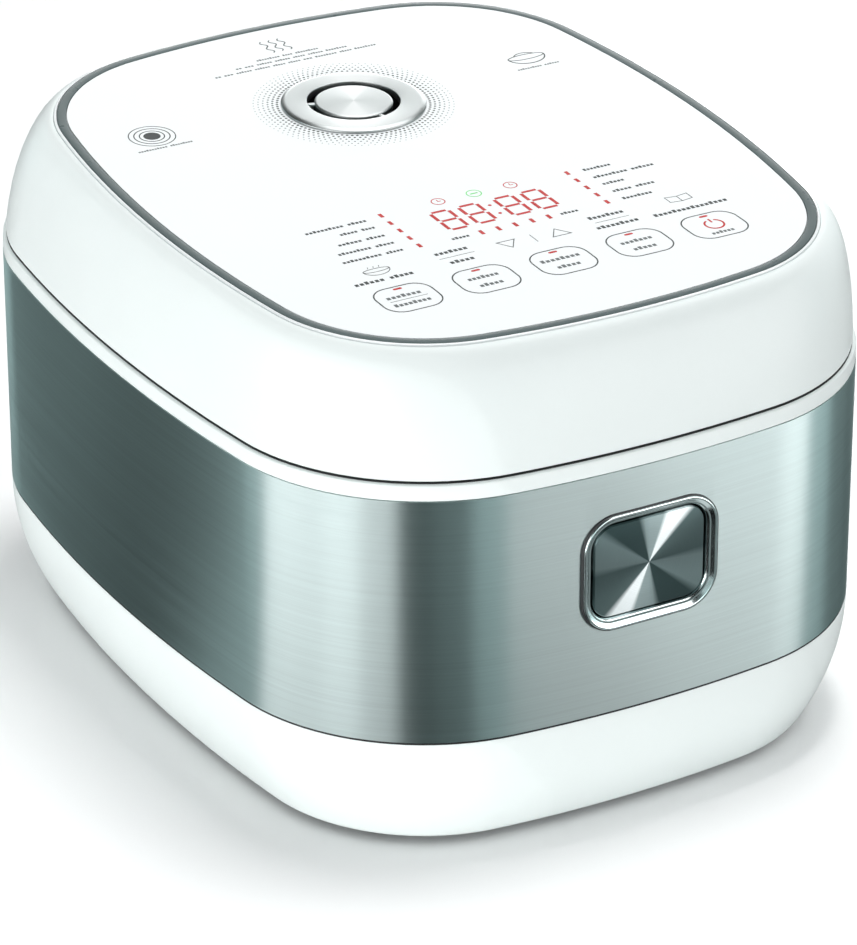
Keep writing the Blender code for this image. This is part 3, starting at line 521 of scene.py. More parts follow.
def lid_ring(t, offset=0, drop=0):
    """Outline of the lid's skin at height t, or OFFSET inside it and DROP below."""
    s_flank, s_back = flank_inset(t, FLANK), flank_inset(t, BACK)
    low = [value - SEAM_INSET for value in BODY]
    high = [value + SEAM_INSET for value in PANEL]
    shape = [a + (b - a) * s_flank for a, b in zip(low, high)]
    back = low[1] + (high[1] + PANEL_Y - low[1]) * s_back
    front = -low[1] + (PANEL_Y - high[1] + low[1]) * s_flank
    shape[1], middle = (back - front) / 2, (back + front) / 2
    z = SEAM + GAP + (PANEL_TOP - 0.8 - SEAM - GAP) * t - drop
    return level(shape, offset, z, middle, PANEL_TILT * t)


def panel_z(y):
    return PANEL_TOP + PANEL_TILT * (y - PANEL_Y)


def on_panel(y):
    """Axes on the middle line of the panel's top face at Y, with Z along its normal."""
    return Matrix.Translation((0, y, panel_z(y))) @ Matrix.Rotation(atan(PANEL_TILT), 4, "X")


def at_pot():
    return Matrix.Translation(POT)


def upright(node):
    """Axes on the floor under the middle of a node."""
    return Matrix.Translation(middle_of(node) * Vector((1, 1, 0)))


# ---------------------------------------------------------------- shells
def make_base():
    sleeve_out, sleeve_in = STEEL + GAP, STEEL + GAP + WALL
    join = BAND_LOW - 0.8
    deck = low_of("top_deck").z - GAP

    def tuck(t):
        return BASE_TUCK * t * t

    def height(t):
        return join + (BASE_LOW - join) * t

    depths = [i / 14 for i in range(1, 14)] + [0.965]
    profile = [(sleeve_out, deck), (sleeve_out, join), (0.6, join), (0.2, join - 0.1), (0, join - 0.6)]
    profile += [(tuck(t), height(t)) for t in depths]
    profile += [(BASE_TUCK - 0.1, BASE_LOW + 0.6), (BASE_TUCK + 0.5, BASE_LOW + 0.1),
                (BASE_TUCK + 1.2, BASE_LOW), (BASE_TUCK + WALL, BASE_LOW)]
    profile += [(tuck(t) + WALL, height(t)) for t in depths[-2::-3]]
    housing = shell("base_shell", profile + [(sleeve_in, BAND_LOW + 2), (sleeve_in, deck)], body_ring)
    cut(housing, button_block("shell_button_cut", 28.8, 23.4, 11.4, -200, -170))
    cut(housing, skin("shell_inlet_cut", [inlet_ring(17.3, 13.3, 2, y) for y in (150, 200)], hollow=False))
    return piece(housing, "gloss_white", "base", "base_housing")


def make_band():
    corners = [(0, BAND_LOW, 0.3), (0, BAND_TOP, 0.3), (STEEL, BAND_TOP, 0), (STEEL, BAND_LOW, 0)]
    band = shell("steel_wrap", fillet(corners, 2), body_ring)
    cut(band, button_block("wrap_button_cut", 29, 23.6, 11.6, -200, -170))
    return piece(band, "brushed_steel", "base", "steel_band")


def make_deck():
    """Top deck: the rim under the lid, the floor round the pot, and the slots for latch and hinge."""
    under, shoulder = low_of("top_deck").z, BAND_TOP + GAP
    corners = [(STEEL + GAP, under, 0), (STEEL + GAP, shoulder, 0), (0.1, shoulder, 0.3),
               (0.2, SEAM, 1), (8, SEAM, 0.9), (9, DECK_FLOOR, 0)]
    deck = shell("deck", fillet(corners, 5), body_ring, hollow=False)
    hole = high_of("pot_well").x - POT.x - 3
    throat = [(0, under - 10), (hole, under - 10), (hole, DECK_FLOOR - 1.4), (hole + 0.4, DECK_FLOOR - 0.5),
              (hole + 1.4, DECK_FLOOR), (hole + 1.4, SEAM + 10), (0, SEAM + 10)]
    cut(deck, turned("deck_throat", throat, at_pot()))
    cut(deck, block("deck_hinge_cut", *HINGE_GAP, 0.8))
    cut(deck, block("deck_latch_cut", (-8.5, -168, 150), (8.5, -146, 170), 0.6))
    # black rings in the lid seam and under the steel band: painted shade for the dark seam lines
    shade_ring("lid_seam_shade", SEAM_INSET + 0.1, SEAM_INSET + 2, SEAM - 0.2, SEAM + 0.2, HINGE_GAP)
    shade_ring("band_seam_shade", 0.3, STEEL + 2 * GAP, BAND_LOW - 1, BAND_LOW - 0.2)
    return piece(deck, "gloss_white", "base", "top_deck")


def shade_ring(name, outer, inner, low, top, gap=()):
    """Thin black ring in a joint between two shells, apart from a box-shaped gap: a dark piece standing in
    for the shade in the seam.
    """
    made = shell(name, ((outer, low), (outer, top), (inner, top), (inner, low)), body_ring)
    if gap:
        cut(made, block(f"{name}_gap", *gap, 0.8))
    return piece(made, "black_plastic", "base")


def hinge_bar(name, half, radius, edge=0, steps=48):
    return bar(name, (-half, HINGE.y, HINGE.z), (half, HINGE.y, HINGE.z), radius, edge, steps)


def make_hinge_ears():
    """Two ears that hold the hinge pin, each a rounded upright with a bore."""
    inner, width, eye, foot = 55.8, 6, 4, 160
    for side, tag in ((-1, "left"), (1, "right")):
        half = 3.5
        rounds = [(eye * cos(a), eye * sin(a)) for a in (radians(-28 + 23.6 * i) for i in range(11))]
        shape = [(half, foot - HINGE.z)] + rounds + [(-half, foot - HINGE.z)]
        rings = [[(side * x, HINGE.y + y, HINGE.z + z) for y, z in shape] for x in (inner, inner + width)]
        ear = skin(f"hinge_ear_{tag}", rings, hollow=False)
        piece(cut(ear, hinge_bar(f"ear_bore_{tag}", 70, BORE)), "gloss_white", "base")


def make_lid():
    turns = 30
    rises = [sin(pi / 2 * i / turns) ** (2 / FLANK[1]) for i in range(1, turns + 1)]
    base = SEAM + GAP
    rings = [body_ring(SEAM_INSET + inset, base + up) for inset, up in ((2.4, 0.5), (0.9, 0.5), (0.2, 0.8))]
    rings += [lid_ring(t) for t in rises if t > 0.03]
    rebate = -SEAM_INSET + 0.2
    rings += [panel_ring(inset, drop) for inset, drop in
              ((rebate, 1.1), (rebate, 3.7), (9, 3.7), (9, 6.2), (0.6, 6.2))]
    rings += [lid_ring(t, 2.6, 2.6 * t) for t in (0.9, 0.82, 0.7, 0.52, 0.35, 0.2)]
    rings += [body_ring(SEAM_INSET + 2.8, base)]
    lid = skin("lid_skin", rings)
    cut(lid, block("skin_hinge_cut", (-HINGE_CUT, 160, 160), (HINGE_CUT, 200, 179.3), 0.6))
    return piece(lid, "gloss_white", "lid", "lid_shell")


def make_liner():
    """Underside of the lid with its round pocket and the hinge barrel."""
    low, edge = LINER_LOW, SEAM_INSET + 2.6 + 2 * GAP
    rings = [body_ring(edge + 1, low), body_ring(edge + 0.3, low + 0.3), body_ring(edge, low + 1)]
    rings.append([(x, y, LINER_TOP) for x, y, z in lid_ring(0.13, 3.4)])
    liner = skin("lid_underside", rings, hollow=False)
    pocket = [(0, low - 10), (117.8, low - 10), (117.8, low), (116.8, low + 0.3), (116.5, low + 1.1),
              (116.5, 172.5), (0, 172.5)]
    cut(liner, turned("liner_pocket", pocket, at_pot()))
    for x, y, radius, tag in ((0, STEAM_Y, 11, "steam"), (POT.x, POT.y, 3, "knob")):
        cut(liner, bar(f"liner_{tag}_hole", (x, y, 160), (x, y, 180), radius, 0))
    cut(liner, block("liner_latch_cut", (-10, -170, 160), (10, -147.9, 180), 0.6))
    cut(liner, block("liner_hinge_cut", (-HINGE_CUT, 164, 160), (HINGE_CUT, 190, 180), 0))
    return piece(liner, "gloss_white", "lid", "lid_liner")


def make_barrel():
    """Hinge barrel of the lid, with the web that joins it to the underside."""
    half, radius = 55.2, 7.4
    barrel = hinge_bar("hinge_barrel", half, radius, 0.8, 64)
    piece(cut(barrel, hinge_bar("barrel_bore", 70, BORE)), "gloss_white", "lid")
    piece(block("barrel_web", (-half, 160, LINER_LOW), (half, HINGE.y, LINER_TOP)), "gloss_white", "lid")


def make_panel():
    rim = -SEAM_INSET + GAP
    face = ((rim, 3.4), (rim, 0.6), (rim + 0.1, 0.2), (rim + 0.5, 0))
    panel = shell("panel_face", face, panel_ring, hollow=False)
    groove = ((-0.3, 1.1), (-0.3, -2), (4.3, -2), (4.3, 1.1))
    cut(panel, shell("panel_groove", groove, panel_ring))
    at = on_panel(VENT_Y)
    cut(panel, bar("panel_vent_hole", at @ Vector((0, 0, -20)), at @ Vector((0, 0, 20)), 28, 0, ROUND))
    piece(panel, "panel_white", "lid", "top_panel")
    corners = [(0, 0.8, 0), (0, 0, 0.4), (4, 0, 0.4), (4, 0.8, 0)]
    strip = shell("panel_inlay", fillet(corners, 3), panel_ring)
    piece(strip, "grey_trim", "lid", "panel_strip")


# ---------------------------------------------------------------- steam vent
def make_vent():
    """Metal ring with a slot round a spun disc, on a plastic body that drops into the panel."""
    at = on_panel(VENT_Y)
    outer = high_of("vent_cap").x
    ring_corners = [(19.9, 0.2, 0), (19.9, -1.4, 0), (19.7, -1.4, 0), (19.7, 1.6, 0.3),
                    (outer - 1.6, 1.7, 1.2), (outer, 0.9, 0.5), (outer, 0.3, 0), (25.5, 0.2, 0)]
    piece(turned("vent_ring", fillet(ring_corners), at), "spun_steel", "vent", "vent_cap")
    disc = [(0, 1.5, 0), (15.8, 1.5, 0.5), (16.6, 1, 0.2), (16.6, -1, 0), (0, -1, 0)]
    piece(turned("vent_plate", fillet(disc), at), "spun_steel", "vent", "vent_disc")
    seat = [(0, -1.6), (0, -1.1), (16.4, -1.1), (16.4, -6), (15, -6), (15, -1.6)]
    piece(turned("vent_seat", seat, at), "black_plastic", "vent")
    skirt = [(25.5, 0.2, 0), (25.5, -18, 0.4), (23.5, -18, 0.4), (23.5, -3, 1),
             (19.9, -1.2, 0), (19.9, 0.2, 0)]
    piece(turned("vent_skirt", fillet(skirt), at), "black_plastic", "vent")
    for tag, degrees in (("left", 159), ("front", -78)):
        turn = at @ Matrix.Rotation(radians(degrees), 4, "Z")
        bridge = block(f"vent_bridge_{tag}", (15.8, -1, -1.4), (20.4, 1, 1), 0.3, turn)
        piece(bridge, "spun_steel", "vent")


# ---------------------------------------------------------------- front button
def soft_square(half_w, half_h, radius, steps=10):
    """Rectangle with round corners as a closed list of (x, z) about its middle."""
    points = []
    for turn, sx, sz in ((0, 1, 1), (90, -1, 1), (180, -1, -1), (270, 1, -1)):
        cx, cz = sx * (half_w - radius), sz * (half_h - radius)
        for i in range(steps + 1):
            angle = radians(turn + 90 * i / steps)
            points.append((cx + radius * cos(angle), cz + radius * sin(angle)))
    return points


def button_ring(half_w, half_h, radius, inset, y):
    square = soft_square(half_w - inset, half_h - inset, max(radius - inset, 0.5))
    return [(x, y, BUTTON_Z + z) for x, z in square]


def button_skin(name, size, profile, hollow=True):
    """Skin through soft squares of SIZE (half width, half height, corner radius) at each (inset, y)."""
    return shell(name, profile, lambda inset, y: button_ring(*size, inset, y), hollow)


def button_block(name, half_w, half_h, radius, y0, y1):
    return button_skin(name, (half_w, half_h, radius), ((0, y0), (0, y1)), hollow=False)


def inlet_ring(half_w, half_h, radius, y):
    return [(INLET.x + x, y, INLET.z + z) for x, z in soft_square(half_w, half_h, radius, 6)]


def make_button():
    half_w, face, radius = high_of("front_button").x, low_of("front_button").y, 8.5
    half_h = high_of("front_button").z - BUTTON_Z
    corners = [(10, face + 0.01, 0), (0.5, face, 0.05), (0, face + 0.7, 0.2),
               (0, face + 4, 0.3), (10, face + 4, 0)]
    plate = button_skin("button_plate", (half_w, half_h, radius), fillet(corners, 3), hollow=False)
    piece(plate, "button_metal", "button", "front_button")
    stem = block("button_stem", (-4.5, face + 3.8, STEM_Z - 4.5),
                 (4.5, high_of("front_button").y, STEM_Z + 4.5))
    piece(stem, "black_plastic", "button")


def make_bezel():
    """Bright frame that slopes in to the button, a black ring in the gap round it as painted shade, and the
    guide box behind.
    """
    half_w, front = high_of("button_bezel").x, low_of("button_bezel").y
    half_h = (high_of("button_bezel").z - low_of("button_bezel").z) / 2
    size, back = (half_w, half_h, 15), high_of("button_bezel").y
    corners = [(0.5, front + 1.2, 0), (0.5, front + 0.4, 0.3), (0.9, front, 0.4),
               (1.6, front, 0.5), (4.4, front + 2.2, 0.4), (4.8, front + 3, 0.3),
               (4.8, front + 6, 0), (3.8, front + 6, 0), (3.8, front + 1.2, 0)]
    piece(button_skin("bezel_frame", size, fillet(corners)), "chrome", "base", "button_bezel")
    # black ring in the gap between frame and steel: painted shade for the dark shadow line round the bezel
    seat = [(0, front + 0.7, 0.1), (1.2, front + 0.7, 0), (1.2, front + 4, 0), (0, front + 4, 0)]
    piece(button_skin("bezel_gap_shade", size, fillet(seat, 2)), "black_plastic", "base")
    box = ((0, front + 5), (0, back), (18, back), (18, back - 1.5), (2.3, back - 1.5), (2.3, front + 5))
    piece(button_skin("bezel_box", (28.5, 23.1, 11.2), box), "black_plastic", "base")


def make_springs():
    """The two coil springs, each wound evenly between the ends of its CAD node."""
    for node, joint, way, across, fixed, radius, wire, travel in (
            ("button_spring", "button_press", (0, 1, 0), (0, 0, STEM_Z), 1, 8.5, 0.5, 4),
            ("sensor_spring", "sensor_press", (0, 0, 1), POT, 0, 11, 0.6, 2.5)):
        way, across = Vector(way), Vector(across)
        ends = [across + way * way.dot(corner) for corner in (low_of(node), high_of(node))]
        made = coil(f"{node}_wire", *ends, radius, wire, 3)
        piece(made, "spring_steel", "base", node)
        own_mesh(made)


# ---------------------------------------------------------------- print on the panel
PRINT_PROUD, PRINT_SUNK = 0.05, 0.2
WORD_SPACE, BLOCK_PITCH, LOW_BLOCK = 0.9, 0.86, 0.76    # as shares of the height of a row of blocks
BLOCK_WIDTH = 0.7          # as a share of the pitch of its blocks
TALL, SMALL = 2.5, 2       # heights of rows of blocks
KEY_PITCH, KEY_Y, CLOCK_Y = 35.25, -115.1, -44.45
KEY = (12.5, 10.7, 7.5)    # half width, half height and corner radius of a key's outline


class Print:
    """Thin raised print on the panel, in panel coordinates (x, y)."""

    def __init__(self, name, finish):
        self.name, self.finish, self.bm = name, finish, bmesh.new()

    def pair(self, x, y):
        z = panel_z(y)
        return self.bm.verts.new((x, y, z + PRINT_PROUD)), self.bm.verts.new((x, y, z - PRINT_SUNK))

    def patch(self, points):
        """Filled convex shape."""
        pairs = [self.pair(x, y) for x, y in points]
        self.bm.faces.new([top for top, low in pairs])
        self.bm.faces.new([low for top, low in reversed(pairs)])
        for (top, low), (top2, low2) in zip(pairs, pairs[1:] + pairs[:1]):
            self.bm.faces.new((top, low, low2, top2))

    def stroke(self, points, width, closed=False):
        """Line of constant width through points, with mitred corners."""
        points = [Vector(point) for point in points]
        count, sections = len(points), []
        for i, here in enumerate(points):
            ahead = (points[(i + 1) % count] - here) if closed or i < count - 1 else (here - points[i - 1])
            behind = (here - points[i - 1]) if closed or i else ahead
            ahead, behind = ahead.normalized(), behind.normalized()
            normal = Vector((-(ahead + behind).y, (ahead + behind).x)).normalized()
            reach = width / 2 / max(0.35, normal.dot(Vector((-behind.y, behind.x))))
            sections.append([self.pair(*(here + normal * side * reach)) for side in (1, -1)])
        spans = list(zip(sections, sections[1:])) + ([(sections[-1], sections[0])] if closed else [])
        for ((a, a_low), (b, b_low)), ((c, c_low), (d, d_low)) in spans:
            for corners in ((a, b, d, c), (a_low, c_low, d_low, b_low), (a, c, c_low, a_low),
                            (b, b_low, d_low, d)):
                self.bm.faces.new(corners)
        if not closed:
            for (a, a_low), (b, b_low) in (sections[0], sections[-1]):
                self.bm.faces.new((a, b, b_low, a_low))

    def disc(self, x, y, radius, steps=20):
        self.patch(arc(x, y, radius, 0, 360, steps)[:-1])

    def circle(self, x, y, radius, width, steps=40):
        self.stroke(arc(x, y, radius, 0, 360, steps)[:-1], width, closed=True)

    def dash(self, x0, x1, y, height):
        """Bar with round ends."""
        r = height / 2
        self.patch(arc(x1 - r, y, r, -90, 90, 6) + arc(x0 + r, y, r, 90, 270, 6))

    def words(self, x0, x1, y, height, lengths):
        """Rows of small plain blocks, tall and low by turns, in place of words of these relative lengths."""
        space = WORD_SPACE * height
        unit = (x1 - x0 - space * (len(lengths) - 1)) / sum(lengths)
        for length in lengths:
            count = max(2, round(unit * length / (BLOCK_PITCH * height)))
            pitch = unit * length / count
            for i in range(count):
                left, low = x0 + pitch * i, y - height / 2
                top = low + height * (1 if (i * 7 + count) % 4 == 0 else LOW_BLOCK)
                right = left + BLOCK_WIDTH * pitch
                self.patch([(left, low), (right, low), (right, top), (left, top)])
            x0 += unit * length + space

    def done(self):
        return piece(shaped(self.name, self.bm), self.finish, "lid")


def arc(x, y, radius, start, end, steps, squash=1):
    """Points on an arc in degrees, flattened across y by SQUASH."""
    angles = (radians(start + (end - start) * i / steps) for i in range(steps + 1))
    return [(x + radius * cos(a), y + radius * squash * sin(a)) for a in angles]


def key_outline(x, y, half_w, half_h, radius):
    return [(x + dx, y + dy) for dx, dy in soft_square(half_w, half_h, radius, 8)]


def print_keys():
    lines, text = Print("key_outlines", "panel_ink"), Print("key_labels", "pale_ink")
    lamps = Print("key_lamps", "display_red")
    for i in range(5):
        x = (i - 2) * KEY_PITCH
        lines.stroke(key_outline(x, KEY_Y, *KEY), 0.6, closed=True)
        lamps.dash(x - 2, x + 2, KEY_Y + 8.6, 1.4)
    first, last = -2 * KEY_PITCH, 2 * KEY_PITCH
    text.words(first - 8.2, first + 7.4, KEY_Y + 2.6, TALL, (4,))
    text.dash(first - 8.4, first + 8.4, KEY_Y - 0.8, 0.3)
    text.words(first - 8.4, first + 8, KEY_Y - 4.4, TALL, (6,))
    for i, upper in ((1, 7), (2, 9), (3, 7.4)):
        x = (i - 2) * KEY_PITCH
        text.words(x - upper, x + upper, KEY_Y + 2.5, TALL, (5,))
        text.words(x - 5.4, x + 5.4, KEY_Y - 4.3, TALL, (4,))
    text.words(last - 5.3, last + 5.3, KEY_Y - 6.6, 2.2, (5,))
    power = Print("power_sign", "display_red")
    power.stroke(arc(last + 0.3, KEY_Y + 0.7, 4, 115, 425, 32), 0.85)
    power.stroke([(last + 0.3, KEY_Y + 2.4), (last + 0.3, KEY_Y + 5.7)], 0.85)
    for made in (lines, text, lamps, power):
        made.done()


def print_digits():
    """Four seven-segment digits with a colon, all segments lit."""
    lit = Print("digit_segments", "display_red")
    top, middle, low, wide, gap = -52.9, -61.45, -70, 1.55, 0.9
    for x0, x1 in ((-25.5, -17.1), (-12.5, -4.1), (4, 12.4), (16.6, 25)):
        for y in (top, middle, low):
            lit.stroke([(x0 + gap, y), (x1 - gap, y)], wide)
        for x in (x0, x1):
            lit.stroke([(x, top - gap), (x, middle + gap)], wide)
            lit.stroke([(x, middle - gap), (x, low + gap)], wide)
    for y in (-57.2, -65.5):
        lit.disc(0, y, 0.8, 12)
    for x in (-43.6, 43.6):
        for i in range(5):
            y = -45.4 - 7.8 * i
            lit.stroke([(x, y - 1.7), (x, y + 1.7)], 1.6)
    for i in range(5):
        x = (i - 2) * 7.82
        lit.stroke([(x, -79.5), (x, -75.7)], 1.6)
    for x in (-16.7, 17.1):
        lit.circle(x, CLOCK_Y, 2.8, 0.45, 28)
        lit.stroke([(x, CLOCK_Y + 1.6), (x, CLOCK_Y), (x + 1.3, CLOCK_Y)], 0.4)
    lit.done()
    green = Print("eco_sign", "display_green")
    green.circle(0, CLOCK_Y, 3.1, 0.45, 32)
    green.dash(-1.8, 1.8, CLOCK_Y, 0.8)
    green.done()


def print_menus():
    """Rows of blocks where the programme names are, arrows, and small signs."""
    text, fine = Print("menu_labels", "panel_ink"), Print("menu_signs", "panel_ink")
    left = ((-78.7, -46.5, (8, 4)), (-66.8, -53.5, (4, 3)), (-72.1, -61.7, (5, 4)),
            (-76.2, -69.2, (7, 4)), (-78.2, -76.5, (9, 4)))
    right = ((64, -45.9, (5,)), (79.9, -53.9, (6, 4)), (61.3, -61.1, (4,)),
             (71, -68.9, (4, 4)), (65, -76.7, (6,)))
    for x0, y, lengths in left:
        text.words(x0, -50.8, y, SMALL, lengths)
    for x1, y, lengths in right:
        text.words(50.9, x1, y, SMALL, lengths)
    text.words(-29.4, -21.1, -77.6, SMALL, (4,))
    text.words(21, 29.5, -77.6, SMALL, (4,))
    for middle, upper, lower in ((-35, 7.6, 5.6), (36.8, 8.3, 9.9)):
        text.words(middle - upper, middle + upper, -86.8, TALL, (5,))
        fine.dash(middle - 8, middle + 8, -91.5, 0.25)
        text.words(middle - lower, middle + lower, -96, TALL, (5,))
    text.words(-83.9, -57.4, -96.5, TALL, (5, 4))
    text.words(53.4, 88.2, -96.8, TALL, (13,))
    fine.stroke([(-15.6, -89), (-7.4, -89), (-11.5, -95.3)], 0.4, closed=True)
    fine.stroke([(11.5, -88.4), (7.4, -94.7), (15.8, -94.7)], 0.4, closed=True)
    fine.stroke([(0, -88.5), (0, -95.4)], 0.3)
    bowl_x, bowl_y = -69.7, -88
    fine.stroke(arc(bowl_x, bowl_y, 5.8, 180, 360, 20, 0.75), 0.35)
    fine.stroke(arc(bowl_x, bowl_y, 5.8, 0, 360, 36, 0.25)[:-1], 0.35, closed=True)
    for dx in (-2.5, 0, 2.5):
        fine.stroke([(bowl_x + dx, bowl_y + 2.2), (bowl_x + dx + 0.5, bowl_y + 3.4)], 0.3)
    book_x, book_y = 71.2, -87.3
    for side in (-1, 1):
        fine.stroke([(book_x, book_y - 2.6), (book_x, book_y + 2.2), (book_x + side * 5.2, book_y + 3),
                     (book_x + side * 5.2, book_y - 1.8)], 0.35, closed=True)
    for made in (text, fine):
        made.done()


def print_signs():
    """Induction rings, a bowl, steam lines and their captions at the back of the panel."""
    rings = Print("induction_rings", "panel_ink")
    centre = (-89.8, 66)
    rings.disc(*centre, 3.6, 36)
    for radius, width in ((5.2, 0.5), (7.5, 0.5), (9.8, 0.45)):
        rings.circle(*centre, radius, width, 56)
    rings.done()
    pale = Print("panel_captions", "pale_ink")
    pale.words(-102, -77, 54, 1.4, (9, 7))
    pale.words(79, 99.6, 54, 1.4, (8, 5))
    for y, half, lengths in ((114.5, 15, (7, 3, 7)), (110.7, 27, (2, 3, 5, 5, 4, 5, 7)),
                             (106.7, 39, (2, 3, 5, 5, 4, 4, 3, 7, 4, 7))):
        pale.words(-half, half, y, 1.5, lengths)
    for dx in (-4.2, 0, 4.2):
        wave = [(dx + 1 * sin(4 * pi * i / 20), 119 + 12.5 * i / 20) for i in range(21)]
        pale.stroke(wave, 0.6)
    pale.done()
    emblem = Print("bowl_sign", "panel_ink")
    x, y = 89.3, 65
    emblem.stroke(arc(x, y, 8.6, 180, 360, 28, 0.8) + [(x + 8.6, y)], 0.6)
    emblem.stroke(arc(x, y, 8.6, 0, 360, 48, 0.28)[:-1], 0.5, closed=True)
    emblem.stroke(arc(x, y + 0.4, 5.2, 20, 160, 20, 0.75), 0.5)
    emblem.done()


def print_dots():
    """Staggered rings of dots round the vent that shrink outwards."""
    dots = Print("vent_dots", "fading_ink")
    for ring in range(6):
        radius, size = 32.2 + 2 * ring, 0.6 - 0.06 * ring
        for i in range(96):
            angle = 2 * pi * (i + 0.5 * (ring % 2)) / 96
            dots.disc(radius * cos(angle), VENT_Y + radius * sin(angle), size, 8)
    dots.done()


# ---------------------------------------------------------------- pot and inner lid
def make_pot():
    low, top = heights("inner_pot")
    flange, inside = high_of("inner_pot").x - 0.4, POT_RADIUS - POT_WALL
    corners = [(inside, top, 0.6), (flange, top, 0.5), (flange + 0.4, top - 1, 0.4),
               (flange, top - 2, 0.4), (POT_RADIUS, top - 2, 0.6), (POT_RADIUS, low, 24),
               (0, low, 0), (0, low + POT_WALL, 0), (inside, low + POT_WALL, 22.5)]
    piece(turned("cooking_pot", fillet(corners, 10), at_pot()), "pot_coating", "base", "inner_pot")


def on_wall(x, up, proud):
    """Point on the pot's inner wall, X round from its back, at height UP and PROUD of the wall."""
    radius = POT_RADIUS - POT_WALL - 0.02
    turn = pi / 2 + x / radius
    return POT.x + (radius - proud) * cos(turn), POT.y + (radius - proud) * sin(turn), up


def make_pot_marks():
    """Level lines with their numbers inside the pot."""
    levels = [66 + 15 * i for i in range(5)]
    half, thick, proud = 7.5, 0.3, 0.12
    lines = bmesh.new()
    for up in levels:
        rows = [[lines.verts.new(on_wall(half * share, up + rise, depth)) for share in (-1, -0.5, 0, 0.5, 1)]
                for rise, depth in ((-thick, 0), (-thick, proud), (thick, proud), (thick, 0))]
        for a, b in zip(rows, rows[1:] + rows[:1]):
            for k in range(4):
                lines.faces.new((a[k], a[k + 1], b[k + 1], b[k]))
        for k in (0, 4):
            lines.faces.new([row[k] for row in rows])
    piece(shaped("level_lines", lines), "aluminium", "base")
    for i, up in enumerate(levels):
        number = str(2 * (i + 1))
        text = bpy.data.curves.new(f"level_text_{i}", "FONT")
        text.body, text.size, text.extrude = number, 6.2, 0.1
        text.align_x, text.align_y, text.resolution_u = "CENTER", "CENTER", 3
        holder = placed(f"level_text_{i}", text)
        bpy.context.view_layer.update()
        mesh = bpy.data.meshes.new_from_object(holder.evaluated_get(bpy.context.evaluated_depsgraph_get()))
        bpy.data.objects.remove(holder)
        for vert in mesh.vertices:
            vert.co = Vector(on_wall(13.5 - vert.co.x, up + vert.co.y, vert.co.z)) * MM
        mesh.flip_normals()
        piece(placed(f"level_number_{number}", mesh), "aluminium", "base")


def make_inner_lid():
    """Removable plate with pressed rings, its seal and the knob that holds it."""
    low, top = heights("inner_lid")
    rim, hub = high_of("inner_lid").x, 4.4
    face = [(rim, low, 0.3), (rim, top, 0.3), (hub, top, 0), (hub, low, 0)]
    for start, end in ((14, 21), (78, 86)):
        face += [(start, low, 1), (start + 2, low + 0.9, 1), (end - 2, low + 0.9, 1), (end, low, 1)]
    plate = turned("inner_lid_plate", fillet(face, 3), at_pot())
    holes = [(0, STEAM_Y, 3)] + [(x, y, 1.4) for x, y in arc(0, STEAM_Y, 8.5, 0, 324, 9)]
    bm = bmesh.new()
    for x, y, radius in holes:
        made = bmesh.ops.create_cone(bm, cap_ends=True, segments=24, radius1=radius, radius2=radius,
                                     depth=(top - low) * 6)
        bmesh.ops.translate(bm, vec=(x, y, low), verts=made["verts"])
    cut(plate, shaped("inner_lid_holes", bm))
    piece(plate, "aluminium", "lid", "inner_lid")
    seal_low, seal_top = heights("lid_gasket")
    seal = [(111, seal_low + 0.6, 0.6), (111, seal_top, 0.4), (104, seal_top, 0.3),
            (104, seal_top - 1, 0.3), (106, seal_low, 0.8), (109.5, seal_low, 0.8)]
    piece(turned("lid_seal", fillet(seal), at_pot()), "silicone", "lid", "lid_gasket")
    k_low, k_top = heights("inner_lid_knob")
    knob = [(0, k_low, 0), (8, k_low, 1.2), (9.5, k_low + 1.8, 1), (8.5, 169.9, 0.4),
            (2.7, 169.9, 0), (2.7, 179, 0), (5, 179, 0.3), (5, k_top, 0.4), (0, k_top, 0)]
    piece(turned("lid_knob", fillet(knob, 5), at_pot(), 48), "black_plastic", "lid", "inner_lid_knob")


# ---------------------------------------------------------------- back and underside
def make_inlet():
    """Appliance inlet with a rounded mouth and three flat pins."""
    front, back = low_of("power_inlet").y, high_of("power_inlet").y
    half_w = high_of("power_inlet").x - INLET.x
    half_h = high_of("power_inlet").z - INLET.z
    corners = [(0, front, 0), (0, back, 1), (3.8, back, 0.5), (4.5, back - 1, 0.4),
               (4.5, 168.5, 0), (12, 168.5, 0), (12, front, 0)]
    rings = [inlet_ring(half_w - inset, half_h - inset, max(3 - 0.2 * inset, 0.6), y)
             for inset, y in fillet(corners)]
    piece(skin("inlet_socket", rings), "black_plastic", "base", "power_inlet")
    floor = block("inlet_floor", (INLET.x - 12.5, 166, INLET.z - 8.5), (INLET.x + 12.5, 168.8, INLET.z + 8.5))
    piece(floor, "black_plastic", "base")
    for tag, dx, dz in (("left", -7, -2), ("middle", 0, 3), ("right", 7, -2)):
        low = (INLET.x + dx - 1, 165, INLET.z + dz - 2)
        high = (INLET.x + dx + 1, 181, INLET.z + dz + 2)
        piece(block(f"inlet_pin_{tag}", low, high, 0.5), "spring_steel", "base")


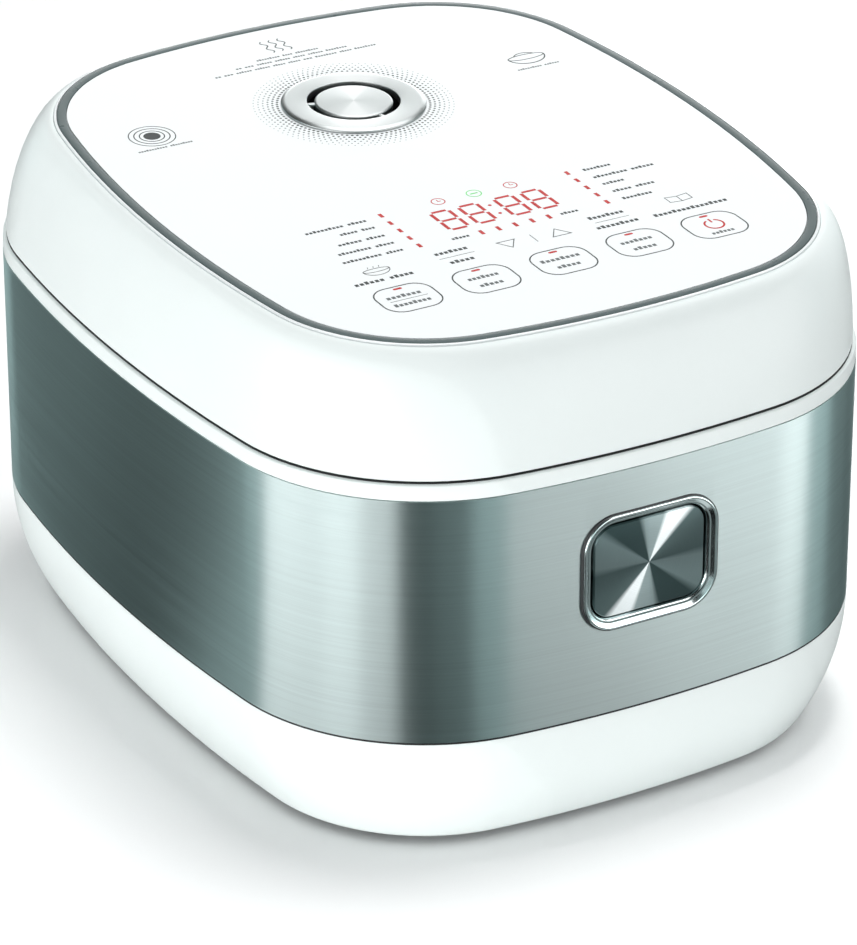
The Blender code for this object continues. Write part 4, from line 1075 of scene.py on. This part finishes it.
def make_feet_and_screws():
    for tag in ("fl", "fr", "rl", "rr"):
        node = f"foot_{tag}"
        at, top = upright(node), high_of(node).z
        corners = [(0, 0.6, 0), (5, 0.6, 0.3), (5.6, 0, 0.3), (7.8, 0, 1),
                   (9.2, 1.4, 0.8), (9.5, top, 0), (0, top, 0)]
        piece(turned(f"rubber_foot_{tag}", fillet(corners), at, 64), "foot_rubber", "base", node)
    for i in range(4):
        node = f"base_screw_{i + 1}"
        centre, (low, top) = middle_of(node), heights(node)
        corners = [(0, low, 0), (2.4, low, 0.8), (3.2, low + 0.9, 0.3), (3.2, low + 1.4, 0),
                   (1.4, low + 1.4, 0), (1.4, top, 0), (0, top, 0)]
        screw = turned(f"cover_screw_{i + 1}", fillet(corners), upright(node), 32)
        for x, y in ((0.4, 1.7), (1.7, 0.4)):
            cut(screw, block(f"screw_cross_{i}_{x}", (centre.x - x, centre.y - y, low - 1),
                             (centre.x + x, centre.y + y, low + 0.9), 0))
        piece(screw, "spring_steel", "base", node)


def finish_cad_nodes():
    """Finishes for the CAD pieces that stay."""
    for part in frame["record"]["subparts"]:
        node = frame["nodes"][part["node"]]
        if node.hide_render:
            continue
        node.data.materials.clear()
        node.data.materials.append(FINISHES[part["material_slot"]])


# ---------------------------------------------------------------- studio
AIM = Vector((0, 0, 0.11))     # what all lights point at
LENS, SENSOR = 193.77, 36
CAMERA_AT, CAMERA_DOWN, CAMERA_TURN = (-0.95378, -1.67888, 1.04443), 26.594, -29.7105


def softbox(name, azimuth, elevation, reach, size, glow, colour=(1, 1, 1), diffuse=True, glossy=True):
    """Rectangular light REACH away, its middle at AZIMUTH (0 in front, 90 right) and ELEVATION; GLOW is its
    radiance."""
    lamp = bpy.data.lights.new(name, "AREA")
    lamp.shape, lamp.size, lamp.size_y = "RECTANGLE", *size
    lamp.energy, lamp.color = glow * pi * size[0] * size[1], colour
    made = placed(name, lamp)
    turn, rise = radians(azimuth), radians(elevation)
    way = Vector((sin(turn) * cos(rise), -cos(turn) * cos(rise), sin(rise)))
    made.location = AIM + way * reach
    made.rotation_euler = way.to_track_quat("Z", "Y").to_euler()
    made.visible_camera, made.visible_diffuse, made.visible_glossy = False, diffuse, glossy
    return made


def flag(lamp, state, *pieces):
    """Let LAMP light only these pieces when STATE is INCLUDE, or all but them when it is EXCLUDE."""
    group = bpy.data.collections.new(lamp.name + "_receivers")
    for made in pieces:
        group.objects.link(made)
    for entry in group.collection_objects:
        entry.light_linking.link_state = state
    lamp.light_linking.receiver_collection = group


# Bank of upright light strips round the cooker that only metal and gloss reflect: azimuth and radiance.
BANK = ((-168, 1.25), (-151, 0.45), (-135, 0.3), (-118, 1.8), (-101, 4.9), (-84, 4.8), (-67, 5.4), (-50, 3.8),
        (-33, 0.5), (-16, 0.8), (1, 1.9), (18, 2.9), (35, 3.8), (52, 4.7), (69, 1.8), (86, 0.6), (103, 0.4),
        (120, 0.5), (137, 3.4), (154, 3.4))
DIM = (0.8, 1, 1)


def make_studio():
    bm = bmesh.new()
    bmesh.ops.create_grid(bm, x_segments=8, y_segments=8, size=30 / MM)
    floor = shaped("floor", bm)
    floor.data.materials.append(FINISHES["ground"])
    floor.visible_glossy = floor.visible_shadow = False
    world = bpy.data.worlds.new("studio")
    bpy.context.scene.world = world
    world.use_nodes = True
    world.node_tree.nodes["Background"].inputs["Color"].default_value = (0.96, 0.985, 1, 1)
    world.node_tree.nodes["Background"].inputs["Strength"].default_value = 0.42
    world.cycles_visibility.glossy = False
    flag(softbox("overhead", 130, 68, 1.9, (1.5, 1.5), 3.8), "EXCLUDE", floor)
    flag(softbox("floor_key", 100, 84, 2.2, (0.6, 0.6), 27, glossy=False), "INCLUDE", floor)
    for name, azimuth, elevation, size, glow in (
            ("left_fill", -62, -16, (2.1, 0.9), 5.8), ("left_high", -40, 42, (2.4, 1.6), 0.7),
            ("front_fill", 20, -8, (1.4, 1.2), 0.5), ("right_fill", 100, 8, (1.2, 1.2), 1.9)):
        flag(softbox(name, azimuth, elevation, 2.1, size, glow, glossy=False), "EXCLUDE", floor)
    flag(softbox("floor_wash", 100, 84, 2.2, (4, 4), 0.25, glossy=False), "INCLUDE", floor)
    flag(softbox("floor_right", 60, 40, 2.2, (1.6, 1.2), 1.1, glossy=False), "INCLUDE", floor)
    softbox("back_high", 150, 28, 2.2, (1.5, 1.3), 1.05, diffuse=False)
    for azimuth, glow in BANK:
        colour = DIM if glow < 2 else (1, 1, 1)
        softbox(f"bank_{azimuth + 180:03d}", azimuth, 6, 1.8, (0.54, 1.1), glow, colour, diffuse=False)
    plate, ring = bpy.data.objects["button_plate"], bpy.data.objects["bezel_frame"]
    flag(softbox("plate_card", 30, -27, 1, (0.9, 0.9), 0.75, diffuse=False), "INCLUDE", plate)
    flag(softbox("ring_high", 31, 33, 1.2, (0.7, 0.5), 2.6, diffuse=False), "INCLUDE", ring)
    flag(softbox("ring_low", 30, -66, 1.2, (1, 0.6), 0.9, (0.93, 1, 1), diffuse=False), "INCLUDE", ring)
    flag(softbox("ring_front", 30, -27, 1, (2.6, 0.7), 0.24, (0.85, 1, 1), diffuse=False), "INCLUDE", ring)


def make_camera():
    data = bpy.data.cameras.new("camera")
    data.lens, data.sensor_width = LENS, SENSOR
    made = placed("camera", data)
    made.location = CAMERA_AT
    made.rotation_euler = (radians(90 - CAMERA_DOWN), 0, radians(CAMERA_TURN))
    data.clip_start, data.clip_end = 0.05, 100
    bpy.context.scene.camera = made


MAKERS = (make_base, make_band, make_deck, make_hinge_ears, make_lid, make_liner, make_barrel, make_panel,
          make_vent, make_button, make_bezel, make_springs, print_keys, print_digits, print_menus,
          print_signs, print_dots, make_pot, make_pot_marks, make_inner_lid, make_inlet,
          make_feet_and_screws, finish_cad_nodes, make_studio, make_camera)
for maker in MAKERS:
    maker()
bpy.context.scene.view_settings.view_transform = "Standard"
bpy.context.view_layer.update()
